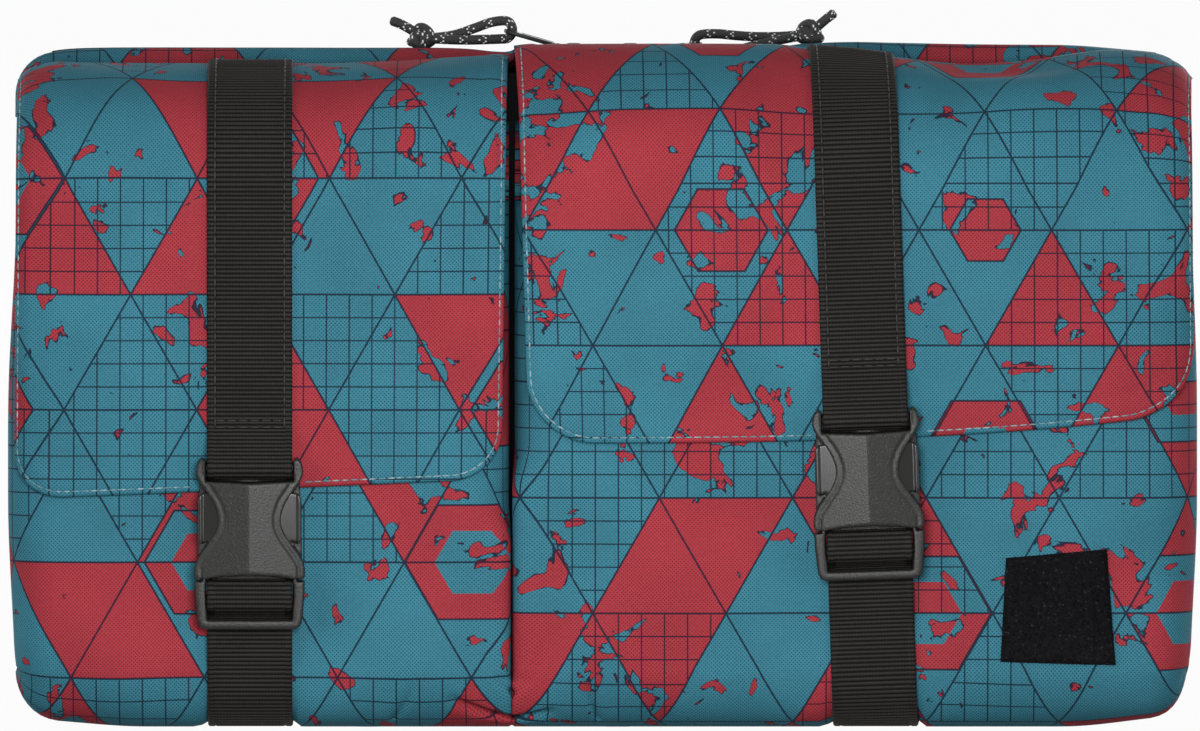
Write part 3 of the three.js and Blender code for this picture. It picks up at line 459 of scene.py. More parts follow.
class Graph:
    """A node tree under construction."""

    def __init__(self, tree: bpy.types.NodeTree) -> None:
        """Start on a tree."""
        self.tree = tree

    def node(
        self, kind: str, inputs: dict[str | int, object] | None = None, **settings: object
    ) -> bpy.types.Node:
        """Add a node.

        Args:
            kind: Node type, without its ShaderNode prefix.
            inputs: Values or wires by socket name or number.
            settings: Properties of the node.

        Returns:
            The node.
        """
        made = self.tree.nodes.new(f"ShaderNode{kind}")
        for name, value in settings.items():
            setattr(made, name, value)
        for socket, value in (inputs or {}).items():
            self.put(made.inputs[socket], value)
        return made

    def put(self, socket: bpy.types.NodeSocket, value: object) -> None:
        """Set a socket to a value, or link a wire to it."""
        if isinstance(value, Wire):
            self.tree.links.new(value.socket, socket)
        elif isinstance(value, tuple) and socket.type == "RGBA":
            socket.default_value = (*value, 1.0)
        else:
            socket.default_value = value

    def out(self, node: bpy.types.Node, socket: str | int = 0) -> Wire:
        """Take a node's output as a wire."""
        return Wire(self, node.outputs[socket])

    def math(self, operation: str, *values: Wire | float) -> Wire:
        """Reckon with numbers."""
        return self.out(self.node("Math", dict(enumerate(values)), operation=operation))

    def vector(self, operation: str, *values: object) -> Wire:
        """Reckon with vectors; a length, distance or dot product is a number."""
        made = self.node("VectorMath", dict(enumerate(values)), operation=operation)
        return self.out(made, "Value" if operation in ("LENGTH", "DISTANCE", "DOT_PRODUCT") else "Vector")

    def split(self, vector: Wire) -> tuple[Wire, Wire, Wire]:
        """Take a vector apart."""
        made = self.node("SeparateXYZ", {0: vector})
        return self.out(made, 0), self.out(made, 1), self.out(made, 2)

    def join(self, x: Wire | float, y: Wire | float, z: Wire | float = 0.0) -> Wire:
        """Make a vector."""
        return self.out(self.node("CombineXYZ", {0: x, 1: y, 2: z}))

    def step(self, value: Wire, low: float, high: float) -> Wire:
        """Rise smoothly from 0 at low to 1 at high, or fall where low is the greater."""
        inputs = {"Value": value, "From Min": low, "From Max": high}
        return self.out(self.node("MapRange", inputs, interpolation_type="SMOOTHSTEP"))

    def mix(
        self, amount: Wire | float, first: Wire | Colour, second: Wire | Colour, blend: str = "MIX"
    ) -> Wire:
        """Blend two colours."""
        made = self.node("Mix", {0: amount, 6: first, 7: second}, data_type="RGBA", blend_type=blend)
        return self.out(made, 2)

    def tinted(self, colour: Wire | Colour, tone: Wire) -> Wire:
        """Darken or lighten a colour by a tone."""
        return self.mix(1.0, colour, self.join(tone, tone, tone), "MULTIPLY")

    def largest(self, first: Wire, second: Wire) -> Wire:
        """Give the larger of two values."""
        return self.math("MAXIMUM", first, second)

    def apart(self, first: Wire, second: Wire | float) -> Wire:
        """Give how far two values are apart, which swaps a mask where the other is 1."""
        return self.math("ABSOLUTE", first - second)

    def above(self, value: Wire, level: float) -> Wire:
        """Give 1 where a value is over a level."""
        return self.math("GREATER_THAN", value, level)

    def noise(self, vector: Wire, scale: float, detail: float = 2.0, distortion: float = 0.0) -> Wire:
        """Give a cloudy value about 0.5."""
        inputs = {"Vector": vector, "Scale": scale, "Detail": detail, "Distortion": distortion}
        return self.out(self.node("TexNoise", inputs), 0)

    def chance(self, vector: Wire) -> tuple[Wire, Wire, Wire]:
        """Give three random numbers for each different vector."""
        colour = self.out(self.node("TexWhiteNoise", {"Vector": vector}), "Color")
        made = self.node("SeparateColor", {0: colour})
        return self.out(made, 0), self.out(made, 1), self.out(made, 2)

    def use(self, group: bpy.types.NodeTree, **inputs: Wire | float) -> dict[str, Wire]:
        """Place a node group, and give its outputs by name."""
        made = self.node("Group", node_tree=group)
        for socket, value in inputs.items():
            self.put(made.inputs[socket], value)
        return {socket.name: Wire(self, socket) for socket in made.outputs}

    def cloth_place(self) -> Wire:
        """Give the place on the cloth, in millimetres."""
        made = self.node("UVMap", uv_map=CLOTH_UV)
        return self.scaled(self.out(made), UV_UNIT)

    def scaled(self, vector: Wire, factor: float) -> Wire:
        """Scale a vector."""
        made = self.node("VectorMath", {0: vector, "Scale": factor}, operation="SCALE")
        return self.out(made, "Vector")

    def object_place(self) -> Wire:
        """Give the place in the object's own frame, in millimetres."""
        return self.scaled(self.out(self.node("TexCoord"), "Object"), 1 / MM)

    def bump(self, height: Wire, strength: float, distance: float) -> Wire:
        """Turn a height in millimetres into a normal."""
        inputs = {"Height": height, "Strength": strength, "Distance": distance * MM}
        return self.out(self.node("Bump", inputs))

    def dress(
        self, colour: Wire, rough: Wire, normal: Wire, specular: float = 0.5, metallic: float = 0.0
    ) -> None:
        """Link what changes over a surface to the material's shader.

        Args:
            colour: Base colour.
            rough: Roughness.
            normal: Normal of the bumpy surface.
            specular: How much a surface that isn't metal shines.
            metallic: How far it is metal.
        """
        shader = self.tree.nodes[SHADER]
        self.put(shader.inputs["Base Color"], colour)
        self.put(shader.inputs["Roughness"], rough)
        self.put(shader.inputs["Normal"], normal)
        self.put(shader.inputs["Specular IOR Level"], specular)
        self.put(shader.inputs["Metallic"], metallic)


def new_group(
    name: str, inputs: dict[str, str], outputs: dict[str, str]
) -> tuple[Graph, dict[str, Wire], Callable[[str, Wire], None]]:
    """Start a shader node group.

    Args:
        name: Name of the group.
        inputs: Socket kinds by input name, such as Float, Vector or Color.
        outputs: Socket kinds by output name.

    Returns:
        The graph, its inputs as wires, and a function that links an output by name.
    """
    tree = bpy.data.node_groups.new(name, "ShaderNodeTree")
    for in_out, sockets in (("INPUT", inputs), ("OUTPUT", outputs)):
        for socket, kind in sockets.items():
            tree.interface.new_socket(name=socket, in_out=in_out, socket_type=f"NodeSocket{kind}")
    graph = Graph(tree)
    entry = tree.nodes.new("NodeGroupInput")
    exit_node = tree.nodes.new("NodeGroupOutput")
    wires = {socket: Wire(graph, entry.outputs[socket]) for socket in inputs}

    def finish(socket: str, wire: Wire) -> None:
        """Link a wire to an output."""
        tree.links.new(wire.socket, exit_node.inputs[socket])

    return graph, wires, finish


class Effects:
    """Node groups that the finishes share, each made once."""

    @cached_property
    def weave(self) -> bpy.types.NodeTree:
        """Plain weave in staggered rows: a mask of its pits, where the finishes paint shade, and heights."""
        graph, given, finish = new_group(
            "Weave", {"Place": "Vector", "Pitch": "Float"}, {"Pits": "Float", "Height": "Float"}
        )
        x, y, _ = graph.split(given["Place"])
        turn = graph.math("DIVIDE", 2 * math.pi, given["Pitch"])
        threads = graph.math("COSINE", x * turn) * graph.math("COSINE", y * turn)
        finish("Pits", graph.step(threads, 0.05, 0.7))
        finish("Height", 0.5 - 0.5 * threads)
        return graph.tree

    @cached_property
    def mottle(self) -> bpy.types.NodeTree:
        """Slow cloudiness of tone, with fine flecks."""
        graph, given, finish = new_group("Mottle", {"Place": "Vector", "Amount": "Float"}, {"Tone": "Float"})
        clouds = graph.noise(given["Place"], 0.035, 3.0)
        flecks = graph.noise(given["Place"], 0.9, 1.0)
        finish("Tone", 1.0 + given["Amount"] * ((clouds - 0.5) * 1.6 + (flecks - 0.5) * 0.8))
        return graph.tree

    @cached_property
    def grain(self) -> bpy.types.NodeTree:
        """Spark-eroded grain of a mould: heights and pale specks."""
        graph, given, finish = new_group(
            "Grain", {"Place": "Vector", "Scale": "Float"}, {"Height": "Float", "Specks": "Float"}
        )
        scale = given["Scale"]
        place = graph.vector("MULTIPLY", given["Place"], graph.join(scale, scale, scale))
        fine = graph.noise(place, 2.2, 2.0)
        coarse = graph.noise(place, 1.3, 1.0)
        finish("Height", fine * 0.7 + coarse * 0.3)
        finish("Specks", graph.step(fine, 0.52, 0.7))
        return graph.tree

    @cached_property
    def wear(self) -> bpy.types.NodeTree:
        """Rubbed outer edges."""
        graph, given, finish = new_group("Edge wear", {"Place": "Vector"}, {"Rubbed": "Float"})
        edge = graph.out(graph.node("NewGeometry"), "Pointiness")
        patchy = graph.step(graph.noise(given["Place"], 0.35, 3.0), 0.35, 0.7)
        finish("Rubbed", graph.step(edge, 0.52, 0.6) * patchy)
        return graph.tree

    @cached_property
    def tiles(self) -> bpy.types.NodeTree:
        """Generic print of triangles and hexagons, with fine lines and worn blotches."""
        graph, given, finish = new_group(
            "Tile print", {"Place": "Vector"}, {"Second": "Float", "Line": "Float", "Fade": "Float"}
        )
        place = given["Place"]
        altitude, side = 34.0, 34.0 * 2 / math.sqrt(3)
        first_share, plain_share, bare_share = 0.66, 0.62, 0.25
        wander = graph.noise(place, 0.05, 2.0)
        ways = [(math.cos(angle), math.sin(angle), 0.0) for angle in np.radians((90, 210, 330))]
        bands = [graph.vector("DOT_PRODUCT", place, way) * (1 / altitude) for way in ways]
        cells = [graph.math("FLOOR", band) for band in bands]
        first, second, third = graph.chance(graph.join(*cells))
        red = graph.above(first, first_share)

        def near_line(values: Sequence[Wire], pitch: float, width: float) -> Wire:
            """Give 1 on the nearest whole number of any value."""
            gaps = [graph.math("PINGPONG", value, 0.5) for value in values]
            nearest = graph.math("MINIMUM", graph.math("MINIMUM", gaps[0], gaps[1]), gaps[2])
            return graph.step(nearest, width / pitch, 0.35 * width / pitch)

        line_width, squares = 0.42, 5
        line = near_line(bands, altitude, line_width)
        x, y, _ = graph.split(graph.scaled(place, squares / altitude))
        fine = near_line([x, y, y], altitude / squares, 0.3)
        line = graph.largest(line, fine * graph.above(second, plain_share))

        # Hexagons on every second corner of the triangles
        wrapped = graph.vector("WRAP", place, (2 * side, 2 * altitude, 1.0), (0, 0, 0))
        centred = graph.vector("SUBTRACT", wrapped, (side, altitude, 0.5))
        hx, hy, _ = graph.split(graph.vector("ABSOLUTE", centred))
        hexagon = graph.largest(hx * 0.866 + hy * 0.5, hy)
        home = graph.vector("SUBTRACT", place, centred)
        luck, _, size = graph.chance(graph.vector("SNAP", home, (4.0, 4.0, 4.0)))
        reach = 9.0 + size * 9.0
        shown = graph.above(luck, bare_share)
        red = graph.apart(red, graph.math("LESS_THAN", hexagon, reach) * shown)
        core = graph.math("LESS_THAN", hexagon, reach * 0.55)
        red = graph.apart(red, core * shown * graph.above(size, 0.4))
        line = graph.largest(line, graph.step(graph.apart(hexagon, reach), line_width, 0.15) * shown)

        # Worn blotches swap the two colours, each with a thin dark rim
        worn_level = 0.635
        level = graph.noise(place, 0.085, 3.5, 0.6) + (graph.noise(place, 0.022, 1.0) - 0.5) * 0.55
        red = graph.apart(red, graph.above(level, worn_level))
        line = graph.largest(line, graph.step(graph.apart(level, worn_level), 0.011, 0.004))
        finish("Second", red)
        finish("Line", line)
        finish("Fade", third * 0.6 + wander * 0.4)
        return graph.tree


EFFECTS = Effects()


class Finish:
    """A material that is made when it is first asked for."""

    @cached_property
    def material(self) -> bpy.types.Material:
        """The material, built once."""
        made = bpy.data.materials.new(type(self).__name__)
        made.use_nodes = True
        self.build(Graph(made.node_tree))
        return made

    def build(self, graph: Graph) -> None:
        """Link this finish's nodes to its shader."""
        raise NotImplementedError


class PrintedCloth(Finish):
    """Coated polyester with a tile print in two colours."""

    first: Colour = (0.050, 0.212, 0.282)
    faded: Colour = (0.053, 0.235, 0.312)
    second: Colour = (0.420, 0.045, 0.058)
    line: Colour = (0.010, 0.014, 0.030)
    pitch: float = 1.15

    def build(self, graph: Graph) -> None:
        """Print over weave, with painted shade in the weave's pits."""
        place = graph.cloth_place()
        tiles = graph.use(EFFECTS.tiles, Place=place)
        weave = graph.use(EFFECTS.weave, Place=place, Pitch=self.pitch)
        mottle = graph.use(EFFECTS.mottle, Place=place, Amount=0.28)
        ground = graph.mix(tiles["Fade"], self.first, self.faded)
        colour = graph.mix(tiles["Second"], ground, self.second)
        colour = graph.mix(tiles["Line"] * 0.9, colour, self.line)
        # Painted shade: the weave's pits are darkened towards the line colour.
        colour = graph.tinted(graph.mix(weave["Pits"] * 0.6, colour, self.line), mottle["Tone"])
        normal = graph.bump(weave["Height"], 0.55, 0.12)
        graph.dress(colour, 0.62 + weave["Pits"] * 0.2, normal, specular=0.04)


class LiningCloth(Finish):
    """Plain dark lining and panel cloth."""

    colour: Colour = (0.012, 0.013, 0.016)
    pitch: float = 0.9
    clouds: float = 0.35
    painted_pit_shade: float = 0.4
    rough: tuple[float, float] = (0.8, 0.15)
    relief: tuple[float, float] = (0.5, 0.1)
    specular: float = 0.15

    def build(self, graph: Graph) -> None:
        """Dark weave with cloudy tone, and painted shade in the weave's pits."""
        place = graph.object_place()
        weave = graph.use(EFFECTS.weave, Place=place, Pitch=self.pitch)
        mottle = graph.use(EFFECTS.mottle, Place=place, Amount=self.clouds)
        # Painted shade: the weave's pits are darkened.
        tone = mottle["Tone"] * (1.0 - weave["Pits"] * self.painted_pit_shade)
        rough = self.rough[0] + weave["Pits"] * self.rough[1]
        normal = graph.bump(weave["Height"], *self.relief)
        graph.dress(graph.tinted(self.colour, tone), rough, normal, self.specular)


class ZipCoil(LiningCloth):
    """Black nylon of the teeth and their tape."""

    colour = (0.014, 0.014, 0.015)
    pitch = 0.8
    clouds = 0.4
    painted_pit_shade = 0.3
    rough = (0.5, 0.2)
    relief = (0.2, 0.08)
    specular = 0.12


class SpacerMesh(Finish):
    """Open knitted mesh over foam."""

    yarn: Colour = (0.028, 0.029, 0.032)
    painted_hole_shade: Colour = (0.004, 0.004, 0.005)

    def build(self, graph: Graph) -> None:
        """Holes in staggered rows over a fine knit, with painted shade in the holes and in the knit's pits.
        """
        place = graph.cloth_place()
        holes = graph.use(EFFECTS.weave, Place=place, Pitch=3.4)
        knit = graph.use(EFFECTS.weave, Place=place, Pitch=0.7)
        mottle = graph.use(EFFECTS.mottle, Place=place, Amount=0.3)
        # Painted shade: the knit's pits are darkened, and the holes take a near-black colour.
        yarn = graph.tinted(self.yarn, mottle["Tone"] * (1.0 - knit["Pits"] * 0.35))
        normal = graph.bump(holes["Height"] + knit["Height"] * 0.15, 0.8, 0.5)
        colour = graph.mix(holes["Pits"], yarn, self.painted_hole_shade)
        graph.dress(colour, 0.75 + holes["Pits"] * 0.2, normal, specular=0.2)


class RibbedWebbing(Finish):
    """Black polypropylene webbing."""

    colour: Colour = (0.021, 0.0195, 0.018)
    thread: float = 0.95

    def build(self, graph: Graph) -> None:
        """Threads across the ribs that the mesh has, with painted highlight on the ribs' crests and the
        threads' tops, and painted shade in the hollows.
        """
        place = graph.cloth_place()
        x, y, _ = graph.split(place)
        threads = graph.math("SINE", x * (2 * math.pi / self.thread)) * 0.5 + 0.5
        mottle = graph.use(EFFECTS.mottle, Place=place, Amount=0.5)
        crest = graph.math("COSINE", y * (2 * math.pi / Webbing.RIB)) * 0.5 + 0.5
        # Painted highlight and shade: crests lighter, hollows much darker, thread tops a little lighter.
        ridge = graph.step(crest, 0.1, 0.8)
        tone = mottle["Tone"] * (0.12 + ridge * 1.2) * (0.85 + threads * 0.25)
        normal = graph.bump(threads * 0.3 + crest, 0.6, 0.2)
        graph.dress(graph.tinted(self.colour, tone), 0.72 - ridge * 0.12, normal, specular=0.1)


class MouldedPlastic(Finish):
    """Grainy acetal of the buckles."""

    colour: Colour = (0.0080, 0.0075, 0.0070)
    gloss: float = 0.27
    grain: float = 1.0

    def build(self, graph: Graph) -> None:
        """Grain, specks and rubbed edges."""
        place = graph.object_place()
        grain = graph.use(EFFECTS.grain, Place=place, Scale=1.0)
        rubbed = graph.use(EFFECTS.wear, Place=place)["Rubbed"]
        light = tuple(min(1.0, 5.0 * part) for part in self.colour)
        colour = graph.mix(grain["Specks"] * 0.8 * self.grain, self.colour, light)
        rough = self.gloss + grain["Height"] * (0.06 + 0.14 * self.grain) - rubbed * 0.1
        normal = graph.bump(grain["Height"], 0.42 * self.grain, 0.24)
        graph.dress(graph.mix(rubbed * 0.6, colour, light), rough, normal, specular=0.28)


class PolishedPlastic(MouldedPlastic):
    """Smoother arms of the same plastic."""

    colour = (0.012, 0.011, 0.0105)
    gloss = 0.14
    grain = 0.0


class BlackedMetal(Finish):
    """Black-plated zinc of the sliders, tabs and rings."""

    plating: Colour = (0.018, 0.018, 0.019)
    bright: Colour = (0.14, 0.135, 0.13)

    def build(self, graph: Graph) -> None:
        """Thin plating, rubbed bright on its edges."""
        place = graph.object_place()
        height = graph.use(EFFECTS.grain, Place=place, Scale=0.6)["Height"]
        rubbed = graph.use(EFFECTS.wear, Place=place)["Rubbed"]
        colour = graph.mix(rubbed * 0.5, self.plating, self.bright)
        graph.dress(colour, 0.3 + height * 0.18, graph.bump(height, 0.12, 0.08), metallic=0.85)


class BraidedCord(Finish):
    """Black braid with reflective tracers."""

    shade: Colour = (0.006, 0.006, 0.007)
    black: Colour = (0.022, 0.021, 0.021)
    tracer: Colour = (0.78, 0.79, 0.80)

    def build(self, graph: Graph) -> None:
        """Slanting strands from the tube's own place, some of them pale."""
        around, along, _ = graph.split(graph.cloth_place())
        turn, run = around * 8.0, along * (1 / 1.25)
        rising, falling = turn * 0.5 + run, turn * 0.5 - run
        hump = graph.math("PINGPONG", rising, 0.5) * graph.math("PINGPONG", falling, 0.5) * 4.0
        row, column = graph.math("FLOOR", rising), graph.math("FLOOR", falling)
        tracer = graph.math("LESS_THAN", graph.math("FLOORED_MODULO", row, 5.0), 1.5)
        tracer = tracer * graph.math("LESS_THAN", graph.math("FLOORED_MODULO", column, 2.0), 0.5)
        pale = tracer * graph.step(hump, 0.22, 0.4)
        # Painted shade: the grooves between strands fall to the shade colour.
        black = graph.mix(graph.step(hump, 0.0, 0.6), self.shade, self.black)
        graph.dress(graph.mix(pale, black, self.tracer), 0.7 - pale * 0.25, graph.bump(hump, 0.7, 0.25))


class LoopPile(Finish):
    """Black brushed loop of a hook-and-loop patch."""

    pile: Colour = (0.008, 0.008, 0.009)
    lint: Colour = (0.05, 0.05, 0.052)

    def build(self, graph: Graph) -> None:
        """Cloudy near-black pile."""
        place = graph.object_place()
        grain = graph.use(EFFECTS.grain, Place=place, Scale=0.8)
        mottle = graph.use(EFFECTS.mottle, Place=place, Amount=0.8)
        colour = graph.tinted(self.pile, mottle["Tone"] * (0.6 + grain["Height"] * 0.8))
        lint = graph.step(graph.noise(place, 1.1, 2.0), 0.62, 0.74)
        normal = graph.bump(grain["Height"], 0.8, 0.3)
        colour = graph.mix(lint * 0.7, colour, self.lint)
        graph.dress(colour, 0.85 + grain["Specks"] * 0.1, normal, specular=0.05)


class PaleThread(Finish):
    """Pale sewing thread of the topstitching."""

    first: Colour = (0.10, 0.24, 0.28)
    second: Colour = (0.36, 0.45, 0.48)

    def build(self, graph: Graph) -> None:
        """Twisted strands that vary along the seam."""
        place = graph.object_place()
        tint = graph.step(graph.noise(place, 0.4, 2.0), 0.4, 0.65)
        twist = graph.noise(place, 6.0, 1.0)
        colour = graph.mix(tint, self.first, self.second)
        graph.dress(colour, 0.55 + twist * 0.25, graph.bump(twist, 0.4, 0.08))


class BlackThread(PaleThread):
    """Black sewing thread."""

    first = (0.006, 0.006, 0.006)
    second = (0.020, 0.019, 0.018)


class StudioFloor(Finish):
    """White sweep that keeps a soft shadow."""

    base: Colour = (0.16, 0.16, 0.16)
    whiteness: float = 0.965

    def build(self, graph: Graph) -> None:
        """Plain grey as a light, and paper white to the camera and in reflections."""
        shader = graph.tree.nodes[SHADER]
        shade = graph.noise(graph.object_place(), 0.004, 1.0)
        graph.put(shader.inputs["Base Color"], self.base)
        graph.put(shader.inputs["Roughness"], 0.85 + shade * 0.1)
        path = graph.node("LightPath")
        seen = graph.out(path, "Is Camera Ray") + graph.out(path, "Is Glossy Ray")
        white = graph.node("Emission", {"Color": WHITE, "Strength": 1.0})
        blend = graph.node("MixShader", {0: graph.math("MINIMUM", seen, 1.0) * self.whiteness})
        output = graph.tree.nodes["Material Output"]
        graph.tree.links.new(shader.outputs[0], blend.inputs[1])
        graph.tree.links.new(white.outputs[0], blend.inputs[2])
        graph.tree.links.new(blend.outputs[0], output.inputs["Surface"])


PRINTED = PrintedCloth()
LINING = LiningCloth()
SPACER = SpacerMesh()
WEBBED = RibbedWebbing()
PLASTIC = MouldedPlastic()
POLISHED = PolishedPlastic()
METAL = BlackedMetal()
COIL = ZipCoil()
BRAID = BraidedCord()
PILE = LoopPile()
PALE_THREAD = PaleThread()
BLACK_THREAD = BlackThread()
FLOOR = StudioFloor()


# Pockets, flaps and straps


class Side(Enum):
    """Which side of the bag, seen from the front."""

    LEFT = "left"
    RIGHT = "right"

    @property
    def outward(self) -> int:
        """Sign of X on this side."""
        return -1 if self is Side.LEFT else 1


class Section:
    """Section of both pockets in Y and Z: over the mouth, down the front and back along the bottom."""

    SEAM_Y = -6.3
    SEAM_Z = 192.7
    CROWN_PULLS = ((-31.92, 192.4), (-49.176, 179.1))
    FLOOR_Z = 2.2
    SHOULDER = (-49.0, 158.7)
    FOOT = (-53.0, 18.2)
    TURN = 16.0

    def __init__(self) -> None:
        """Run a fine line along the section."""
        crown = bezier((self.SEAM_Y, self.SEAM_Z), *self.CROWN_PULLS, self.SHOULDER, 800)
        front = np.linspace(self.SHOULDER, self.FOOT, 900)
        angle = np.linspace(math.pi, 1.5 * math.pi, 400)
        middle = self.FOOT[0] + self.TURN
        turn = stacked(middle + self.TURN * np.cos(angle), self.FOOT[1] + self.TURN * np.sin(angle))
        floor = np.linspace((middle, self.FLOOR_Z), (self.SEAM_Y, self.FLOOR_Z), 300)
        line = np.concatenate([crown, front[1:], turn[1:], floor[1:]])
        self.along = travelled(line)
        heading = np.gradient(line, self.along, axis=0)
        heading /= np.linalg.norm(heading, axis=1, keepdims=True)
        self.y, self.z = line.T
        self.out_y, self.out_z = heading[:, 1], -heading[:, 0]
        self.foot = self.along_at(self.FOOT[1])

    @property
    def length(self) -> float:
        """Length of the section."""
        return float(self.along[-1])

    def place(self, along: Points, offset: Points) -> tuple[Points, Points]:
        """Give Y and Z along the section, straight back before its start, lifted by an offset."""
        found = [np.interp(along, self.along, axis) for axis in (self.y, self.z, self.out_y, self.out_z)]
        behind = np.maximum(-np.asarray(along), 0)
        return found[0] + behind + found[2] * offset, found[1] + found[3] * offset

    def along_at(self, height: float) -> float:
        """Give the distance along the section at which its front reaches a height."""
        front = slice(0, int(np.argmin(np.abs(self.z - self.FLOOR_Z))))
        return float(np.interp(-height, -self.z[front], self.along[front]))


SECTION = Section()


class TopLine:
    """How the stuffed bag's top runs from left to right."""

    # X, rise of the flaps' seam over its plain height, and fullness of the strip behind it
    KNOTS = (
        (-176.0, 0.3, 1.8), (-165.0, -0.1, 3.6), (-150.0, -0.5, 5.0), (-104.0, -0.7, 5.1),
        (-75.0, -0.5, 5.0), (-46.0, 1.0, 4.7), (-31.0, 2.1, 3.2), (-27.9, 2.3, 3.4),
        (-26.5, 4.8, 3.6), (-20.0, 5.1, 4.2), (45.0, 5.1, 4.4), (59.0, 4.0, 5.4), (72.0, 3.0, 6.2),
        (85.0, 1.4, 6.3), (105.0, -0.6, 6.3), (126.0, 0.5, 5.9), (138.0, 2.2, 5.4),
        (150.0, 3.4, 4.3), (160.0, 2.8, 3.4), (168.0, 1.6, 2.6), (176.0, 0.6, 1.5),
    )
    DENT = (122.0, 14.0)
    DENT_SIZE = (20.0, 9.0)
    DENT_DEPTH = 2.2

    def __init__(self) -> None:
        """Run smooth lines through the knots."""
        self.line = spline(self.KNOTS, 900)

    def rise(self, x: Points, along: Points | float = 0.0) -> Points:
        """Give how far the flaps' seam, and the cloth just below it, stand up at X."""
        seam = np.interp(x, self.line[:, 0], self.line[:, 1]) * (1 - ease(0.0, 38.0, along))
        aside = (x - self.DENT[0]) / self.DENT_SIZE[0]
        down = (np.asarray(along) - self.DENT[1]) / self.DENT_SIZE[1]
        return seam - self.DENT_DEPTH * np.exp(-(aside**2) - down**2)

    def fullness(self, x: Points) -> Points:
        """Give how plump the strip behind the seam is at X."""
        return np.interp(x, self.line[:, 0], self.line[:, 2])


TOP_LINE = TopLine()


@dataclass
class Pocket:
    """A front pocket, with its flap, straps and buckle."""

    side: Side
    left: float
    right: float
    hem: float
    hem_rise: float
    hem_corner: float
    strap_x: float
    buckle_z: float
    lean: float
    stitch_to_bar: float
    seed: int
    creases: list[tuple[float, float, float, float, float]] = field(default_factory=list)
    hem_power: float = 3.0
    slant: float = 2.0
    side_swell: float = 0.4
    corner_pull: float = 0.6
    side_round: float = 14.0
    mouth: float = 156.0
    cloth: float = 2.0
    flap_cloth: float = 2.2
    flap_reach: float = math.radians(55)
    buckle_mid: float = 6.8
    seam_allowance: float = 2.9
    print_shift: tuple[float, float] = (0.0, 0.0)
    flap_print: tuple[float, float] = (61.0, 23.0)
    strap_reach: tuple[float, float] = (15.0, 46.0)
    front_swell: float = 2.7
    foot_swell: float = 2.0
    gusset_rise: float = 22.0
    gusset_slack: float = 2.4
    flap_swell: float = 2.1
    hem_lift: float = 0.45
    hem_groove: float = 0.35
    hem_seam: float = 1.7
    edge_roll: float = 1.3
    seam_sink: float = 1.6
    outer_shift: float = 1.2

    @property
    def name(self) -> str:
        """Name of the side."""
        return self.side.value

    @property
    def buckle_along(self) -> float:
        """Distance along the section of the buckle's mouth."""
        return SECTION.along_at(self.buckle_z)

    @property
    def hem_along(self) -> float:
        """Distance along the section of the flap's hem."""
        return SECTION.along_at(self.hem)

    def onto(self, across: Points, along: Points, offset: Points, fold: Points | float = 1.0) -> Points:
        """Wrap places on flat cloth round the pocket.

        Args:
            across: Distance across the cloth, which is X between the rounded sides.
            along: Distance along the section.
            offset: Height over the pocket's face.
            fold: How closely the cloth follows the rounded sides, from near 0 to 1.

        Returns:
            Points in the bag's frame.
        """
        station = self.station(across)
        radius = self.side_round / fold
        turn = (across - station) / radius
        y, z = SECTION.place(along, (radius + offset) * np.cos(turn) - radius)
        return stacked(station + (radius + offset) * np.sin(turn), y, z)

    def station(self, across: Points) -> Points:
        """Give the nearest X between the rounded sides."""
        return np.clip(across, self.left + self.side_round, self.right - self.side_round)

    def to_parting(self, across: Points) -> Points:
        """Give the distance round the side that faces the other pocket, 0 before it."""
        return np.maximum((across - self.station(across)) * -self.side.outward, 0)

    def clear_of_strap(self, across: Points) -> Points:
        """Give 0 under the strap and 1 well away from it."""
        return ease(*self.strap_reach, np.abs(across - self.strap_x))

    def wrap_swell(self, across: Points, along: Points) -> Points:
        """Give how far the filled pocket stands proud of its plain form."""
        foot, hem = SECTION.foot, self.hem_along
        under = 1 - ease(foot + 36.0, foot + 52.0, along)
        edges = ease(self.left - 2, self.left + 34, across) * ease(-self.right - 2, -self.right + 34, -across)
        uneven = 1 + 0.35 * ripples(across, along, self.seed, 62.0)
        front = ease(hem + 1.0, hem + 26.0, along) * (1 - ease(foot, foot + 18.0, along))
        swell = self.front_swell * front * edges * self.clear_of_strap(across) * uneven
        strap = self.strap_x + (along - self.buckle_along) * math.sin(self.lean)
        settled = ease(foot + 3.0, foot + 18.0, along) * under
        swell = swell + self.foot_swell * settled * ease(12.7, 15.0, np.abs(across - strap))

        turn = np.minimum(self.to_parting(across) / self.side_round, math.pi / 2)
        power = 6.0 + 90.0 * settled
        level, side = 1 + swell / self.side_round, 1 + (0.7 + 0.1 * settled) / self.side_round
        square = ((np.cos(turn) / level) ** power + (np.sin(turn) / side) ** power) ** (-1 / power)
        full = ease(hem + 0.5, hem + 14.0, along) * under
        swell = swell + (self.side_round * (square - 1) - swell) * full

        outer = self.past_side(across)
        top = SECTION.along_at(self.mouth)
        side = self.side_swell * ease(top, top + 70.0, along) - 1.2 * (1 - ease(top, top + 60.0, along))
        swell = swell + ease(0.3, 1.3, outer) * (side - 2.0 * ease(foot - 50.0, foot + 6.0, along))
        swell = swell - self.corner_pull * ease(-1.8, 0.9, outer) * ease(foot - 8.0, foot + 20.0, along)
        plain = swell
        for ax, az, bx, bz, depth in self.creases:
            ends = (ax, SECTION.along_at(az)), (bx, SECTION.along_at(bz))
            swell = swell - self.crease(across, along, *ends, depth)
        return np.minimum(swell, np.where(turn > 0, plain, 5.0 - 2.95 * settled))

    def past_side(self, across: Points) -> Points:
        """Give the place round the outer side as a share of its rounding, below 0 before it."""
        edge = self.right - self.side_round if self.side is Side.RIGHT else -self.left - self.side_round
        return (across * self.side.outward - edge) / self.side_round

